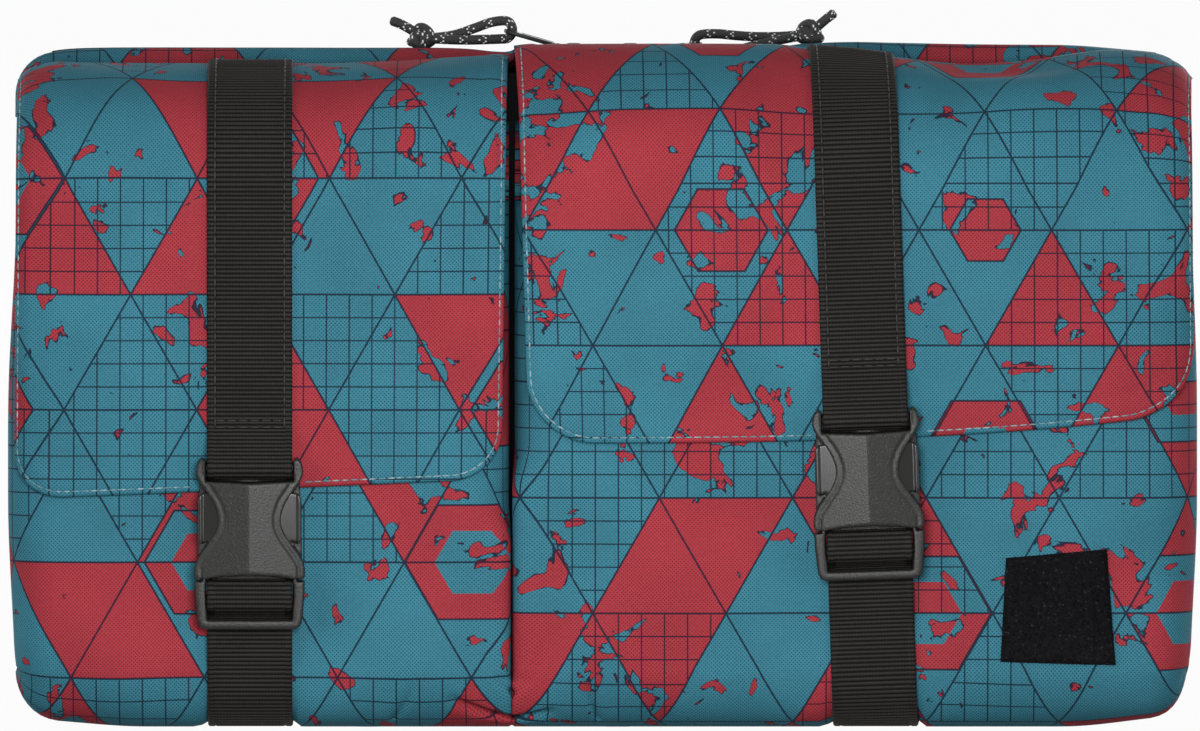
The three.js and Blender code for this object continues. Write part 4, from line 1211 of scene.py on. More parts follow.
    def crease(
        self, across: Points, along: Points, start: Sequence[float], end: Sequence[float], depth: float
    ) -> Points:
        """Give the depth of a crease that runs out from its start.

        Args:
            across: Places across the cloth.
            along: Places along it.
            start: Place of its deep end, across and along.
            end: Place where it runs out.
            depth: Depth at its start.

        Returns:
            Depths, 0 away from the crease.
        """
        dx, dy = end[0] - start[0], end[1] - start[1]
        share = np.clip(((across - start[0]) * dx + (along - start[1]) * dy) / (dx * dx + dy * dy), 0, 1)
        away = np.hypot(across - start[0] - share * dx, along - start[1] - share * dy)
        above = ((across - start[0]) * dy - (along - start[1]) * dx) * np.sign(dx) / math.hypot(dx, dy)
        puff = 0.4 * np.exp(-(((above - 3.6) / 2.4) ** 2)) * (away < 12.0)
        return depth * (1 - share) * (np.exp(-((away / (0.8 + 1.3 * share)) ** 2)) - puff)

    def build_wrap(self) -> None:
        """Make the cloth round the front and under the bottom."""
        reach = self.side_round * math.pi / 2
        low, high = self.left + self.side_round - reach, self.right - self.side_round + reach
        top, foot = SECTION.along_at(self.mouth), SECTION.foot
        fine = np.linspace(0, 46, 74)
        fine = low + fine if self.side is Side.RIGHT else high - fine[::-1]
        coarse = np.linspace(low, high, int((high - low) / 2.6))
        coarse = coarse[(coarse < fine[0] - 1.2) | (coarse > fine[-1] + 1.2)]
        columns = np.sort(np.concatenate([coarse, fine]))
        bends = (top, foot - 12, foot + 30, SECTION.length)
        spans = zip(bends, bends[1:], (56, 66, 10))
        rows = [np.linspace(a, b, count, endpoint=False) for a, b, count in spans]
        across, along = np.meshgrid(columns, np.concatenate([*rows, bends[-1:]]))
        swell = self.wrap_swell(across, along)
        mesh = slab(self.onto(across, along, swell), self.onto(across, along, swell - self.cloth))
        flat = self.printed(across, along, self.print_shift)
        node = f"{self.name}_pocket_wrap"
        wrap = add_piece(f"{self.name}_wrap", mesh, PRINTED, "bag", "printed_cloth", node, uv=flat)
        (high - low) * MM
        for edge, x, way in (("left", self.left, 1), ("right", self.right, -1)):
            self.build_gusset(edge, x, way, top)

    def printed(self, across: Points, along: Points, *shifts: tuple[float, float]) -> Points:
        """Give both faces' flat places for the print."""
        flat = stacked(across, -along)
        for shift in shifts:
            flat = flat + shift
        return np.tile(flat.reshape(-1, 2), (2, 1))

    def build_gusset(self, edge: str, x: float, inward: int, top: float) -> None:
        """Make the side wall inside the wrap's turned edge, slightly slack and cut higher at the back.

        Args:
            edge: Which end of the pocket.
            x: Where its outer face is.
            inward: Sign of X towards the pocket's inside.
            top: Distance along the section of the pocket's mouth.
        """
        along = np.linspace(top, SECTION.length, 70)[:, None]
        rim_y, rim_z = SECTION.place(along, -self.side_round - GAP)
        share = np.linspace(0, 1, 26)[None, :]
        y = rim_y + (SECTION.y[0] - rim_y) * share
        z = rim_z + self.gusset_rise * (1 - (1 - share) ** 2.2) * (1 - ease(top, top + 40.0, along))
        slack = self.gusset_slack * np.sin(math.pi * share) ** 0.7 * ease(top, top + 40, along)
        slack = slack * (1 + 0.3 * ripples(y, z, self.seed + 3, 30.0))
        end = x + inward * self.side_round * (1 - math.pi / 2)
        slack = slack + 0.1 - self.wrap_swell(np.full(along.shape, end), along)
        outer = stacked(x + inward * slack, y, z)
        inner = outer + np.array([inward * self.cloth, 0, 0])
        mesh = slab(outer[:, ::inward], inner[:, ::inward])
        name, node = f"{self.name}_gusset_{edge}", f"{self.name}_pocket_gusset_{edge}"
        add_piece(name, mesh, PRINTED, "bag", "printed_cloth", node, uv=mesh[0][:, 1:] + (x, 0.0))

    # Flap

    @property
    def flap_span(self) -> tuple[float, float]:
        """Ends of the flap across the cloth."""
        reach = self.side_round * self.flap_reach
        return self.left + self.side_round - reach, self.right - self.side_round + reach

    def flap_end(self, across: Points) -> Points:
        """Give the flap's lower edge, as a distance along the section."""
        first, last = self.flap_span
        aside = np.minimum(across - first, last - across)
        short = np.maximum(self.hem_corner - aside, 0)
        cut = self.hem_corner - np.sqrt(np.maximum(self.hem_corner**2 - short**2, 0))
        rise = self.hem_rise * np.clip((across - first) / (last - first), 0, 1) ** self.hem_power
        return self.hem_along - rise - cut

    def flap_edge(self, inset: float, count: int = 900) -> Points:
        """Run a line round the flap's free edges.

        Args:
            inset: Distance in from the edge.
            count: How many points to return.

        Returns:
            Places across and along the cloth.
        """
        first, last = self.flap_span
        turn = 0.5 - 0.5 * np.cos(np.linspace(0, math.pi, 600))
        across = first + (last - first) * turn
        rim = stacked(across, self.flap_end(across))
        rim = resampled(np.concatenate([[(first, 3.0)], rim, [(last, 3.0)]]), count)
        heading = headings(rim)
        return rim + inset * stacked(heading[:, 1], -heading[:, 0])

    def flap_height(self, across: Points, along: Points) -> Points:
        """Give the height of the flap's outer face over the pocket's plain form."""
        away = line_field(self.flap_edge(0.0, 260), across, along)
        body = ease(4.0, 32.0, away) * self.clear_of_strap(across)
        uneven = 1.0 + 0.4 * ripples(across, along, self.seed + 1, 70.0)
        height = GAP + self.flap_cloth + self.flap_swell * body * uneven * ease(2.0, 40.0, along)
        groove = np.exp(-(((away - self.hem_seam) / 0.55) ** 2))
        hem = self.hem_lift * (1 - ease(5.0, 7.5, away)) - self.hem_groove * groove
        roll = self.edge_roll * (1 - rounded(away / self.edge_roll))
        height = height + hem * self.clear_of_strap(across) - roll
        return height - self.sewn_in(along) + TOP_LINE.rise(across, along)

    def sewn_in(self, along: Points) -> Points:
        """Give how far the cloth sinks where it goes into the top seam."""
        return self.seam_sink * (1 - ease(-self.seam_allowance, 1.5, along))

    def lay_flap(self, across: Points, along: Points, height: Points) -> Points:
        """Lay places of the flap on the pocket: flatter towards the parting, whose edge runs aslant."""
        first, last = self.flap_span
        share = (last - across if self.side is Side.RIGHT else across - first) / (last - first)
        down = along / self.hem_along
        shift = self.slant * share**3 * down - self.outer_shift * (1 - share) ** 3 * (1 - down)
        sloped = across + self.side.outward * shift
        fold = np.where(self.to_parting(across) > 0, 0.12 + 0.38 * ease(8.0, 70.0, along), 1.0)
        return self.onto(sloped, along, height, fold)

    def build_flap(self) -> None:
        """Make the flap, its turned hem and its topstitching."""
        first, last = self.flap_span
        turn = np.linspace(0, 1, int((last - first) / 1.6))
        turn = 0.35 * turn + 0.65 * (0.5 - 0.5 * np.cos(math.pi * turn))
        drop = np.sin(np.linspace(0, 0.42 * math.pi, 98)) / math.sin(0.42 * math.pi)
        across = np.broadcast_to(first + (last - first) * turn, (len(drop), len(turn)))
        end = self.flap_end(across[0]) + self.seam_allowance
        along = drop[:, None] * end[None, :] - self.seam_allowance
        height = self.flap_height(across, along)
        under = np.maximum(height - self.flap_cloth, np.minimum(height - 0.5, GAP))
        mesh = slab(self.lay_flap(across, along, height), self.lay_flap(across, along, under))
        flat = self.printed(across, along, self.flap_print, self.print_shift)
        name = f"{self.name}_flap"
        flap = add_piece(f"{name}_cloth", mesh, PRINTED, "bag", "printed_cloth", name, uv=flat)

        x, along = self.flap_edge(self.hem_seam).T
        seam = self.lay_flap(x, along, self.flap_height(x, along) + 0.12)
        seams = runs(seam, (along > 5.0) & (np.abs(x - self.strap_x) > 16.5))
        threads = stitches(seams, length=2.1, gap=0.6, radius=0.24)
        stitching = add_piece(f"{name}_stitching", threads, PALE_THREAD, "bag", "printed_cloth")
        size = ((last - first) * MM, (self.hem_along - self.hem_rise / 3 + self.seam_allowance) * MM)


def runs(line: Points, keep: Points) -> list[Points]:
    """Cut a line into the stretches that are kept."""
    cuts = np.flatnonzero(np.diff(keep.astype(int))) + 1
    pieces = np.split(np.arange(len(line)), cuts)
    return [line[piece] for piece in pieces if keep[piece[0]] and len(piece) > 3]


def stitches(lines: Sequence[Points], length: float, gap: float, radius: float) -> Mesh:
    """Sew along some lines.

    Args:
        lines: Seams, in millimetres.
        length: Length of a stitch.
        gap: Space between stitches.
        radius: Half the thread's thickness.

    Returns:
        One mesh of short threads that dip in at both ends.
    """
    threads = []
    for line in lines:
        count = max(int(length_of(line) / (length + gap)), 1)
        even = resampled(line, count * 6 + 1)
        for number in range(count):
            stitch = resampled(even[number * 6 : number * 6 + 6], 5)
            threads.append(tube(stitch, radius * np.array([0.45, 0.9, 1.0, 0.9, 0.45]), 6))
    return merged(threads)


@dataclass
class Webbing:
    """Ribbed webbing that is sewn, looped or threaded."""

    RIB = 1.27

    width: float = 25.0
    thick: float = 1.6
    selvedge: float = 2.3
    rib_height: float = 0.2

    def ribbon(self, name: str, path: Points, place: Field, node: str) -> None:
        """Sweep the webbing's section along a line, as a piece of the bag.

        Args:
            name: Name of the piece.
            path: Middle of the webbing, as distance along a surface and offset from it.
            place: Maps across, along and offset to points.
            node: CAD node that it replaces.
        """
        count = int(length_of(path) / (self.RIB / 4))
        middle = resampled(path, count)
        heading = headings(middle)
        normal = stacked(-heading[:, 1], heading[:, 0])
        run = np.arange(count) * (self.RIB / 4)
        half = self.width / 2
        inside = half - self.selvedge
        columns = np.array([-half, -half + 0.5, -inside - 0.5, -inside, -inside + 0.5])
        columns = np.concatenate([columns, np.linspace(-inside + 2.5, inside - 2.5, 3), -columns[::-1]])
        edge = np.abs(columns)
        full = np.where(edge >= half - 0.1, 0.45, np.where(np.abs(edge - inside) < 0.1, 0.82, 1.0))
        phase = np.where(edge > inside, math.pi, 0.0)
        rib = 0.5 + 0.5 * np.cos(2 * math.pi * run[:, None] / self.RIB + phase)
        lift = (self.thick / 2 - self.rib_height * (1 - rib)) * full
        ring = []
        for sign, order in ((1, slice(None)), (-1, slice(None, None, -1))):
            along = middle[:, :1] + sign * normal[:, :1] * lift[:, order]
            offset = middle[:, 1:] + sign * normal[:, 1:] * lift[:, order]
            across = np.broadcast_to(columns[order], along.shape)
            ring.append(place(across, along, offset))
        points = np.concatenate(ring, axis=1)
        sides = points.shape[1]
        faces = grid_faces(count, sides, closed=True)
        last = (count - 1) * sides
        faces += [tuple(range(sides)), tuple(reversed(range(last, last + sides)))]
        around = np.concatenate([columns, columns[::-1]])
        flat = stacked(around[None, :], run[:, None]).reshape(-1, 2)
        add_piece(name, (points.reshape(-1, 3), faces), WEBBED, "bag", "webbing", node, uv=flat)

    def loop(
        self, start: float, stitch: float, level: float, bar: float, bar_offset: float, bar_radius: float
    ) -> Points:
        """Run flat to a stitch, and then round a bar and back.

        Args:
            start: Where the webbing starts.
            stitch: Where it is sewn.
            level: Offset of its middle.
            bar: Place of the bar along the surface.
            bar_offset: Offset of the bar's middle.
            bar_radius: Radius of the bar.

        Returns:
            Middle line of the webbing.
        """
        radius = bar_radius + GAP + self.thick / 2
        away = np.array([stitch - bar, level - bar_offset])
        middle = math.atan2(away[1], away[0])
        spread = math.acos(radius / np.linalg.norm(away))
        angles = np.linspace(middle - spread, middle + spread - 2 * math.pi, 60)
        arc = stacked(bar + radius * np.cos(angles), bar_offset + radius * np.sin(angles))
        flat = np.linspace((start, level), (stitch, level), 40)
        back = [(stitch + self.thick, level - 0.1)]
        return np.concatenate([flat, arc, back])


@dataclass
class Straps:
    """The two webbing straps of a pocket."""

    buckle: Buckle
    webbing: Webbing = field(default_factory=Webbing)
    tail: float = 5.0
    step: float = 7.0
    press: float = 0.9

    @property
    def pocket(self) -> Pocket:
        """The pocket that they close."""
        return self.buckle.pocket

    def place(self, across: Points, along: Points, offset: Points) -> Points:
        """Lay strap places on the pocket, leaning about the buckle's mouth."""
        pocket = self.pocket
        cos, sin = math.cos(pocket.lean), math.sin(pocket.lean)
        down = along - pocket.buckle_along
        x = pocket.strap_x + across * cos + down * sin
        pressed = self.press * (1 - ease(-1.5, 9.0, along))
        lift = offset + TOP_LINE.rise(x, along) - pressed - pocket.sewn_in(along)
        y, z = SECTION.place(pocket.buckle_along + down * cos - across * sin, lift)
        return stacked(x, y, z)

    def build(self) -> None:
        """Make both straps and the black stitching on them."""
        pocket, webbing = self.pocket, self.webbing
        bar = pocket.buckle_along - self.buckle.bar_up
        stitch = bar - pocket.stitch_to_bar
        face = GAP + pocket.flap_cloth + GAP
        level, radius = face + webbing.thick / 2, self.buckle.bar_radius
        path = webbing.loop(-2.4, stitch, level, bar, pocket.buckle_mid, radius)
        webbing.ribbon(f"{pocket.name}_flap_strap", path, self.place, f"{pocket.name}_flap_webbing")

        top = face + webbing.thick
        edge = webbing.width / 2 - webbing.selvedge
        run = np.linspace(4.0, stitch, 300)
        seams = [self.place(side * edge, run, top + 0.05) for side in (-1, 1)]
        rows = np.linspace(-edge, edge, 60)
        seams += [self.place(rows, stitch - back, top + 0.08) for back in (0.4, 2.4)]
        threads = stitches(seams, length=2.3, gap=0.8, radius=0.28)
        add_piece(f"{pocket.name}_strap_stitching", threads, BLACK_THREAD, "bag", "webbing")

        path = spline(self.threaded_route(), 900)
        webbing.ribbon(f"{pocket.name}_lower_strap", path, self.place, f"{pocket.name}_lower_webbing")

    def threaded_route(self) -> list[tuple[float, float]]:
        """Give the lower strap's middle line, round the plug's cross bar and down to the seam below."""
        thick, mid, buckle = self.webbing.thick, self.pocket.buckle_mid, self.buckle
        flat = GAP + thick / 2
        turn = buckle.bar_radius + GAP + thick / 2
        slant = turn * math.sqrt(0.5)
        cross = self.pocket.buckle_along + buckle.cross_bar
        below = cross + turn
        bottom = self.pocket.buckle_along + buckle.plug_frame - buckle.bottom_bar / 2
        behind = mid - buckle.plug_depth - GAP - thick / 2 - GAP
        tail = bottom + self.tail
        end = SECTION.length - thick
        route = [
            (tail, flat),
            (bottom, flat + GAP),
            (below + thick, flat + thick / 2),
            (below - thick / 2, mid - turn - thick / 2),
            (cross - 1.5, mid - turn),
            (cross - slant - 3.0, mid - slant),
            (cross - turn - 3.0, mid),
            (cross - slant - 2.8, mid + slant),
            (cross - 1.0, mid + turn),
            (cross + slant, mid + slant),
            (below + GAP, mid - GAP),
            (below + thick, behind + thick / 2),
            (bottom - buckle.bottom_bar / 2, behind),
            (tail, behind - GAP),
            (tail + self.step / 2, flat + thick),
            (tail + 1.5 * self.step, flat),
        ]
        return route + [(along, flat) for along in np.linspace(tail + 2.5 * self.step, end, 7)]


@dataclass
class LoopPatch:
    """Square of loop pile sewn on the right pocket, left bare."""

    pocket: Pocket
    x: float = 133.4
    height: float = 36.4
    size: float = 32.5
    thick: float = 1.4
    loops: int = 2000

    def place(self, across: Points, up: Points, lift: Points) -> Points:
        """Lay places of the patch on the pocket's swollen cloth, a little out of square."""
        right, high = across / self.size, up / self.size
        x = self.x + right * (31.8 - 4.2 * high) - 0.5 * high
        along = SECTION.along_at(self.height) - high * (32.4 + 3.6 * right) - 0.8 * right
        return self.pocket.onto(x, along, self.pocket.wrap_swell(x, along) + lift)

    def build(self) -> None:
        """Make the backing and its pile."""
        random = np.random.default_rng(11)
        half = self.size / 2
        across, up = np.meshgrid(np.linspace(-half, half, 58), np.linspace(half, -half, 58))
        away = half - np.maximum(np.abs(across), np.abs(up))
        lift = self.thick * (0.35 + 0.65 * ease(0.0, 1.2, away)) + random.normal(0, 0.07, across.shape)
        mesh = slab(self.place(across, up, lift), self.place(across, up, 0.1))
        add_piece("loop_square", mesh, PILE, "bag", "loop_fuzz", "loop_patch")

        spots = random.uniform(-half + 0.2, half - 0.2, (self.loops, 2))
        angle = random.uniform(0, 2 * math.pi, self.loops)
        size = random.uniform(0.35, 0.7, self.loops)
        turn = np.linspace(0, math.pi, 5)
        hairs = []
        for (x, z), way, radius in zip(spots, angle, size):
            reach = radius * np.cos(turn)
            lift = self.thick - 0.2 + 0.9 * radius * np.sin(turn)
            arc = self.place(x + reach * math.cos(way), z + reach * math.sin(way), lift)
            hairs.append(tube(arc, radius=0.07, sides=3))
        add_piece("loop_square_pile", merged(hairs), PILE, "bag", "loop_fuzz")


# Hardware


@dataclass(frozen=True)
class Stand:
    """Where a moulding stands: its origin and its own three axes."""

    origin: Points
    right: Points
    up: Points
    out: Points

    def set(self, points: Points) -> Points:
        """Bring points of the moulding into the bag's frame."""
        return self.origin + points @ np.stack([self.right, self.up, self.out])


@dataclass
class Buckle:
    """Side-release buckle, drawn from the socket's mouth upwards."""

    pocket: Pocket
    half: float = 16.25
    arch: float = 1.6
    flare_start: float = 3.0
    waist: float = 9.2
    waist_up: float = 17.5
    pull: float = 5.0
    ear: float = 15.8
    ear_inner: float = 13.0
    ear_widest: float = 32.0
    ear_top: float = 36.2
    height: float = 29.2
    sag: float = 0.6
    back: float = 4.0
    edge: float = 2.8
    ridge: float = 4.9
    band: float = 2.3
    band_drop: float = 0.4
    cavity: float = 2.3
    mouth_wall: float = 1.85
    throat_wall: float = 3.65
    window_low: float = 10.4
    window_high: float = 26.1
    bar_up: float = 33.0
    bar_radius: float = 1.5
    plug_depth: float = 2.0
    plug_base: float = 4.2
    plug_frame: float = 14.5
    rail: float = 3.5
    bottom_bar: float = 2.8
    cross_bar: float = 6.0
    clear: float = 0.4
    arm_inner: float = 9.7
    arm_outer: float = 12.3
    arm_pad: float = 15.3
    back_plate: tuple[tuple[float, float], ...] = (
        (0.0, -0.8), (14.0, -0.8), (15.4, 3.0), (15.3, 12.0), (15.0, 24.0), (14.6, 30.0), (0.0, 30.0)
    )

    @cached_property
    def stand(self) -> Stand:
        """Where the buckle sits on the pocket's front."""
        pocket = self.pocket
        heights = np.array([pocket.buckle_mid, pocket.buckle_mid + 1])
        y, z = SECTION.place(np.full(2, pocket.buckle_along), heights)
        out = np.array([0.0, y[1] - y[0], z[1] - z[0]])
        right = np.array([1.0, 0.0, 0.0])
        up = np.cross(out, right)
        cos, sin = math.cos(pocket.lean), math.sin(pocket.lean)
        origin = np.array([pocket.strap_x, y[0], z[0]])
        return Stand(origin, right * cos + up * sin, up * cos - right * sin, out)

    @cached_property
    def side_edge(self) -> Points:
        """Right edge of the socket's face, from the mouth to the ear."""
        low, high, pull = self.flare_start, self.ear_widest, self.pull
        waist, waist_up = self.waist, self.waist_up
        flare = bezier((self.half, low), (self.half, low + pull), (waist, waist_up - pull), (waist, waist_up))
        lifted, spread = (waist, waist_up + 1.3 * pull), (self.ear, high - 0.8 * pull)
        rise = bezier((waist, waist_up), lifted, spread, (self.ear, high))
        return np.concatenate([[(self.half, -2.0)], flare, rise[1:], [(self.ear, self.ear_top + 2)]])

    def socket(self, u: Points, v: Points, w: Points) -> Points:
        """Field of the socket: waisted shell with a ridged face, open at the mouth and both windows."""
        inner = self.ear_inner
        ear = [(self.ear - 0.5, 34.6), (inner + 1.0, self.ear_top), (inner, self.ear_top - 1)]
        top = [(inner, self.height), (0.0, self.height - self.sag)]
        mouth = [(0.0, self.arch), (self.half / 2, 0.7 * self.arch), (self.half - 1, 0.0), (self.half, 1.0)]
        shell = prism(mirrored([*mouth, *self.side_edge[1:-1], *ear, *top]), u, v)
        plate = prism(mirrored(self.back_plate), u, v)
        bevel = line_field(self.side_edge, np.abs(u[:, :, 0]), v[:, :, 0])[:, :, None]
        level = np.abs(u) - 1.1 * np.maximum(self.band - bevel, 0)
        face = self.ridge + (self.edge - self.ridge) * level / self.half
        face = face - self.band_drop * ease(self.band + 0.15, self.band - 0.15, bevel)
        solid = within(0.7, shell, w - face, -self.back - w)
        throat, wide, past = self.half - self.throat_wall, self.half - self.mouth_wall, self.half + 3
        inside = [(0.0, -3.0), (wide, -3.0), (wide, self.plug_base + GAP), (throat, self.plug_base + 1.3)]
        inside += [(throat, self.window_low), (past, self.window_low)]
        inside += [(past, self.window_high), (0.0, self.window_high)]
        hollow = np.maximum(prism(mirrored(inside), u, v), np.abs(w) - self.cavity)
        solid = within(0.3, solid, -hollow)
        bar = np.maximum(np.hypot(v - self.bar_up, w) - self.bar_radius, np.abs(u) - self.ear + 1)
        solid = np.minimum(solid, within(0.5, plate, -self.back - w, w + self.cavity + 0.1))
        return np.minimum(solid, bar)

    def plug(self, u: Points, v: Points, w: Points) -> Points:
        """Field of the plug: a frame with two bars, and the base and guide inside the socket."""
        half, frame = self.half, self.plug_frame
        neck = half - self.mouth_wall - self.clear
        outline = [(0.0, -frame), (half - 3.4, -frame), (half - 1.6, 0.6 - frame), (half - 0.8, 2.4 - frame)]
        outline += [(half - 0.1, -4.0), (half, -0.1), (neck, -0.1), (neck, self.plug_base)]
        outline += [(2.5, self.plug_base), (1.5, 20.0), (0.0, 20.0)]
        sill, lintel, gap = self.bottom_bar - frame, self.arch + self.clear, half - self.rail
        window = [(0.0, sill), (gap - 0.3, sill), (gap, -4.0), (gap, lintel), (0.0, lintel)]
        outside, opening = prism(mirrored(outline), u, v), prism(mirrored(window), u, v)
        frame = within(1.0, outside, np.abs(w) - self.plug_depth, -opening)
        bar = np.maximum(np.hypot(v + self.cross_bar, w) - self.bar_radius, np.abs(u) - self.half + 2)
        return np.minimum(frame, bar)

    def arm(self, u: Points, v: Points, w: Points) -> Points:
        """Field of the right arm: a slim root and the pad in the window, with a raised outer rim."""
        foot, tip = self.window_low + 0.8, self.window_high - 0.8
        inner, outer, edge = self.arm_inner, self.arm_outer, self.arm_pad
        crest, root = (edge - 3, tip + 0.6), self.plug_base + 0.5
        pad = bezier((edge, tip - 2.6), (edge, tip), (edge - 1, tip + 0.4), crest, 12)
        back = bezier(crest, (10.5, tip), (inner - 1.2, tip - 3), (inner - 1.2, 18.2), 12)
        start = [(inner, root), (outer, root), (outer, foot + 0.2)]
        start += [(edge - 1, foot - 0.6), (edge, foot + 0.4)]
        solid = prism(np.concatenate([start, pad, back[1:]]), u, v)
        front = self.plug_depth - 0.1 - 0.5 * (1 - ease(self.arm_pad - 1.5, self.arm_pad - 1.0, u))
        front = front - 0.14 * (u - self.arm_outer)
        return within(0.45, solid, w - front, -self.plug_depth - w)

    def build(self) -> None:
        """Mould the four pieces."""
        name = self.pocket.name
        half, deep, thick = self.half + 0.5, self.ridge + 0.5, self.plug_depth + 0.5
        low, high = (-half, -0.5, -self.back - 0.5), (half, self.ear_top + 0.5, deep)
        self.add("socket", moulded(self.socket, low, high, pitch=0.38), PLASTIC, "bag")
        low, high = (-half, -self.plug_frame - 0.5, -thick), (half, 20.5, thick)
        self.add("plug", moulded(self.plug, low, high, pitch=0.4), PLASTIC, "bag")
        points, faces = moulded(self.arm, (9.0, 4.0, -thick), (16.0, 26.0, thick), pitch=0.3)
        self.add("arm_right", (points, faces), POLISHED, f"{name}_arm_right")
        self.add("arm_left", (points * (-1, 1, 1), flipped(faces)), POLISHED, f"{name}_arm_left")

    def add(self, part: str, mesh: Mesh, finish: Finish, body: str) -> None:
        """Stand one moulded piece on the pocket.

        Args:
            part: Name of the piece.
            mesh: Vertices in the buckle's own frame, and faces.
            finish: What it is made of.
            body: CAD body it rides on.
        """
        name = self.pocket.name
        placed = self.stand.set(mesh[0]), mesh[1]
        add_piece(f"{name}_{part}", placed, finish, body, "buckle_plastic", f"{name}_buckle_{part}")


@dataclass
class Zip:
    """The main zip: two rows of coil teeth and the tape edges that carry them."""

    y: float = 20.0
    top: float = 193.6
    half_length: float = 150.0
    slit: float = 0.7
    width: float = 2.4
    height: float = 2.6
    pitch: float = 1.5
    tape_up: float = 1.5
    tape_thick: float = 1.2
    bead: float = 0.46

    def build(self) -> None:
        """Make both halves of the chain."""
        for name, way in (("front", -1), ("rear", 1)):
            chain = merged([self.tape(way), *self.teeth(way)])
            add_piece(f"zip_teeth_{name}", chain, COIL, "bag", "zip_chain", f"zip_chain_{name}")

    def tape(self, way: int) -> Mesh:
        """Make the tape that carries the teeth.

        Args:
            way: Sign of Y from the slit to this half.

        Returns:
            Vertices and faces.
        """
        x = np.linspace(-self.half_length, self.half_length, 120)[:, None]
        across = np.linspace(self.slit + 0.9, self.slit + self.width, 5)[None, :]
        low = self.top - self.height
        upper = stacked(x, self.y + way * across, low + self.tape_up + 0.25 * (across - 2))
        points, faces = slab(upper, upper - np.array([0, 0, self.tape_thick]))
        return points, faces if way > 0 else flipped(faces)

    def teeth(self, way: int) -> list[Mesh]:
        """Make the coil's turns along one half, each a small hooked bead."""
        count = int(2 * self.half_length / self.pitch)
        shift = self.pitch / 2 if way > 0 else 0.0
        low = self.top - self.height
        slit, top = self.slit, self.top
        profile = [(slit + 2.2, low + 1.9), (slit + 1.2, top - 0.5), (slit + 0.3, top - 0.75)]
        profile += [(slit - 0.1, top - 1.25), (slit + 0.4, low + 0.85), (slit + 1.6, low + 0.7)]
        bend = spline(profile, 8)
        slant = np.linspace(-0.25, 0.25, len(bend))
        beads = []
        for number in range(count):
            x = -self.half_length + shift + (number + 0.4) * self.pitch
            path = stacked(x + slant, self.y + way * bend[:, 0], bend[:, 1])
            beads.append(tube(path, self.bead, sides=4))
        return beads


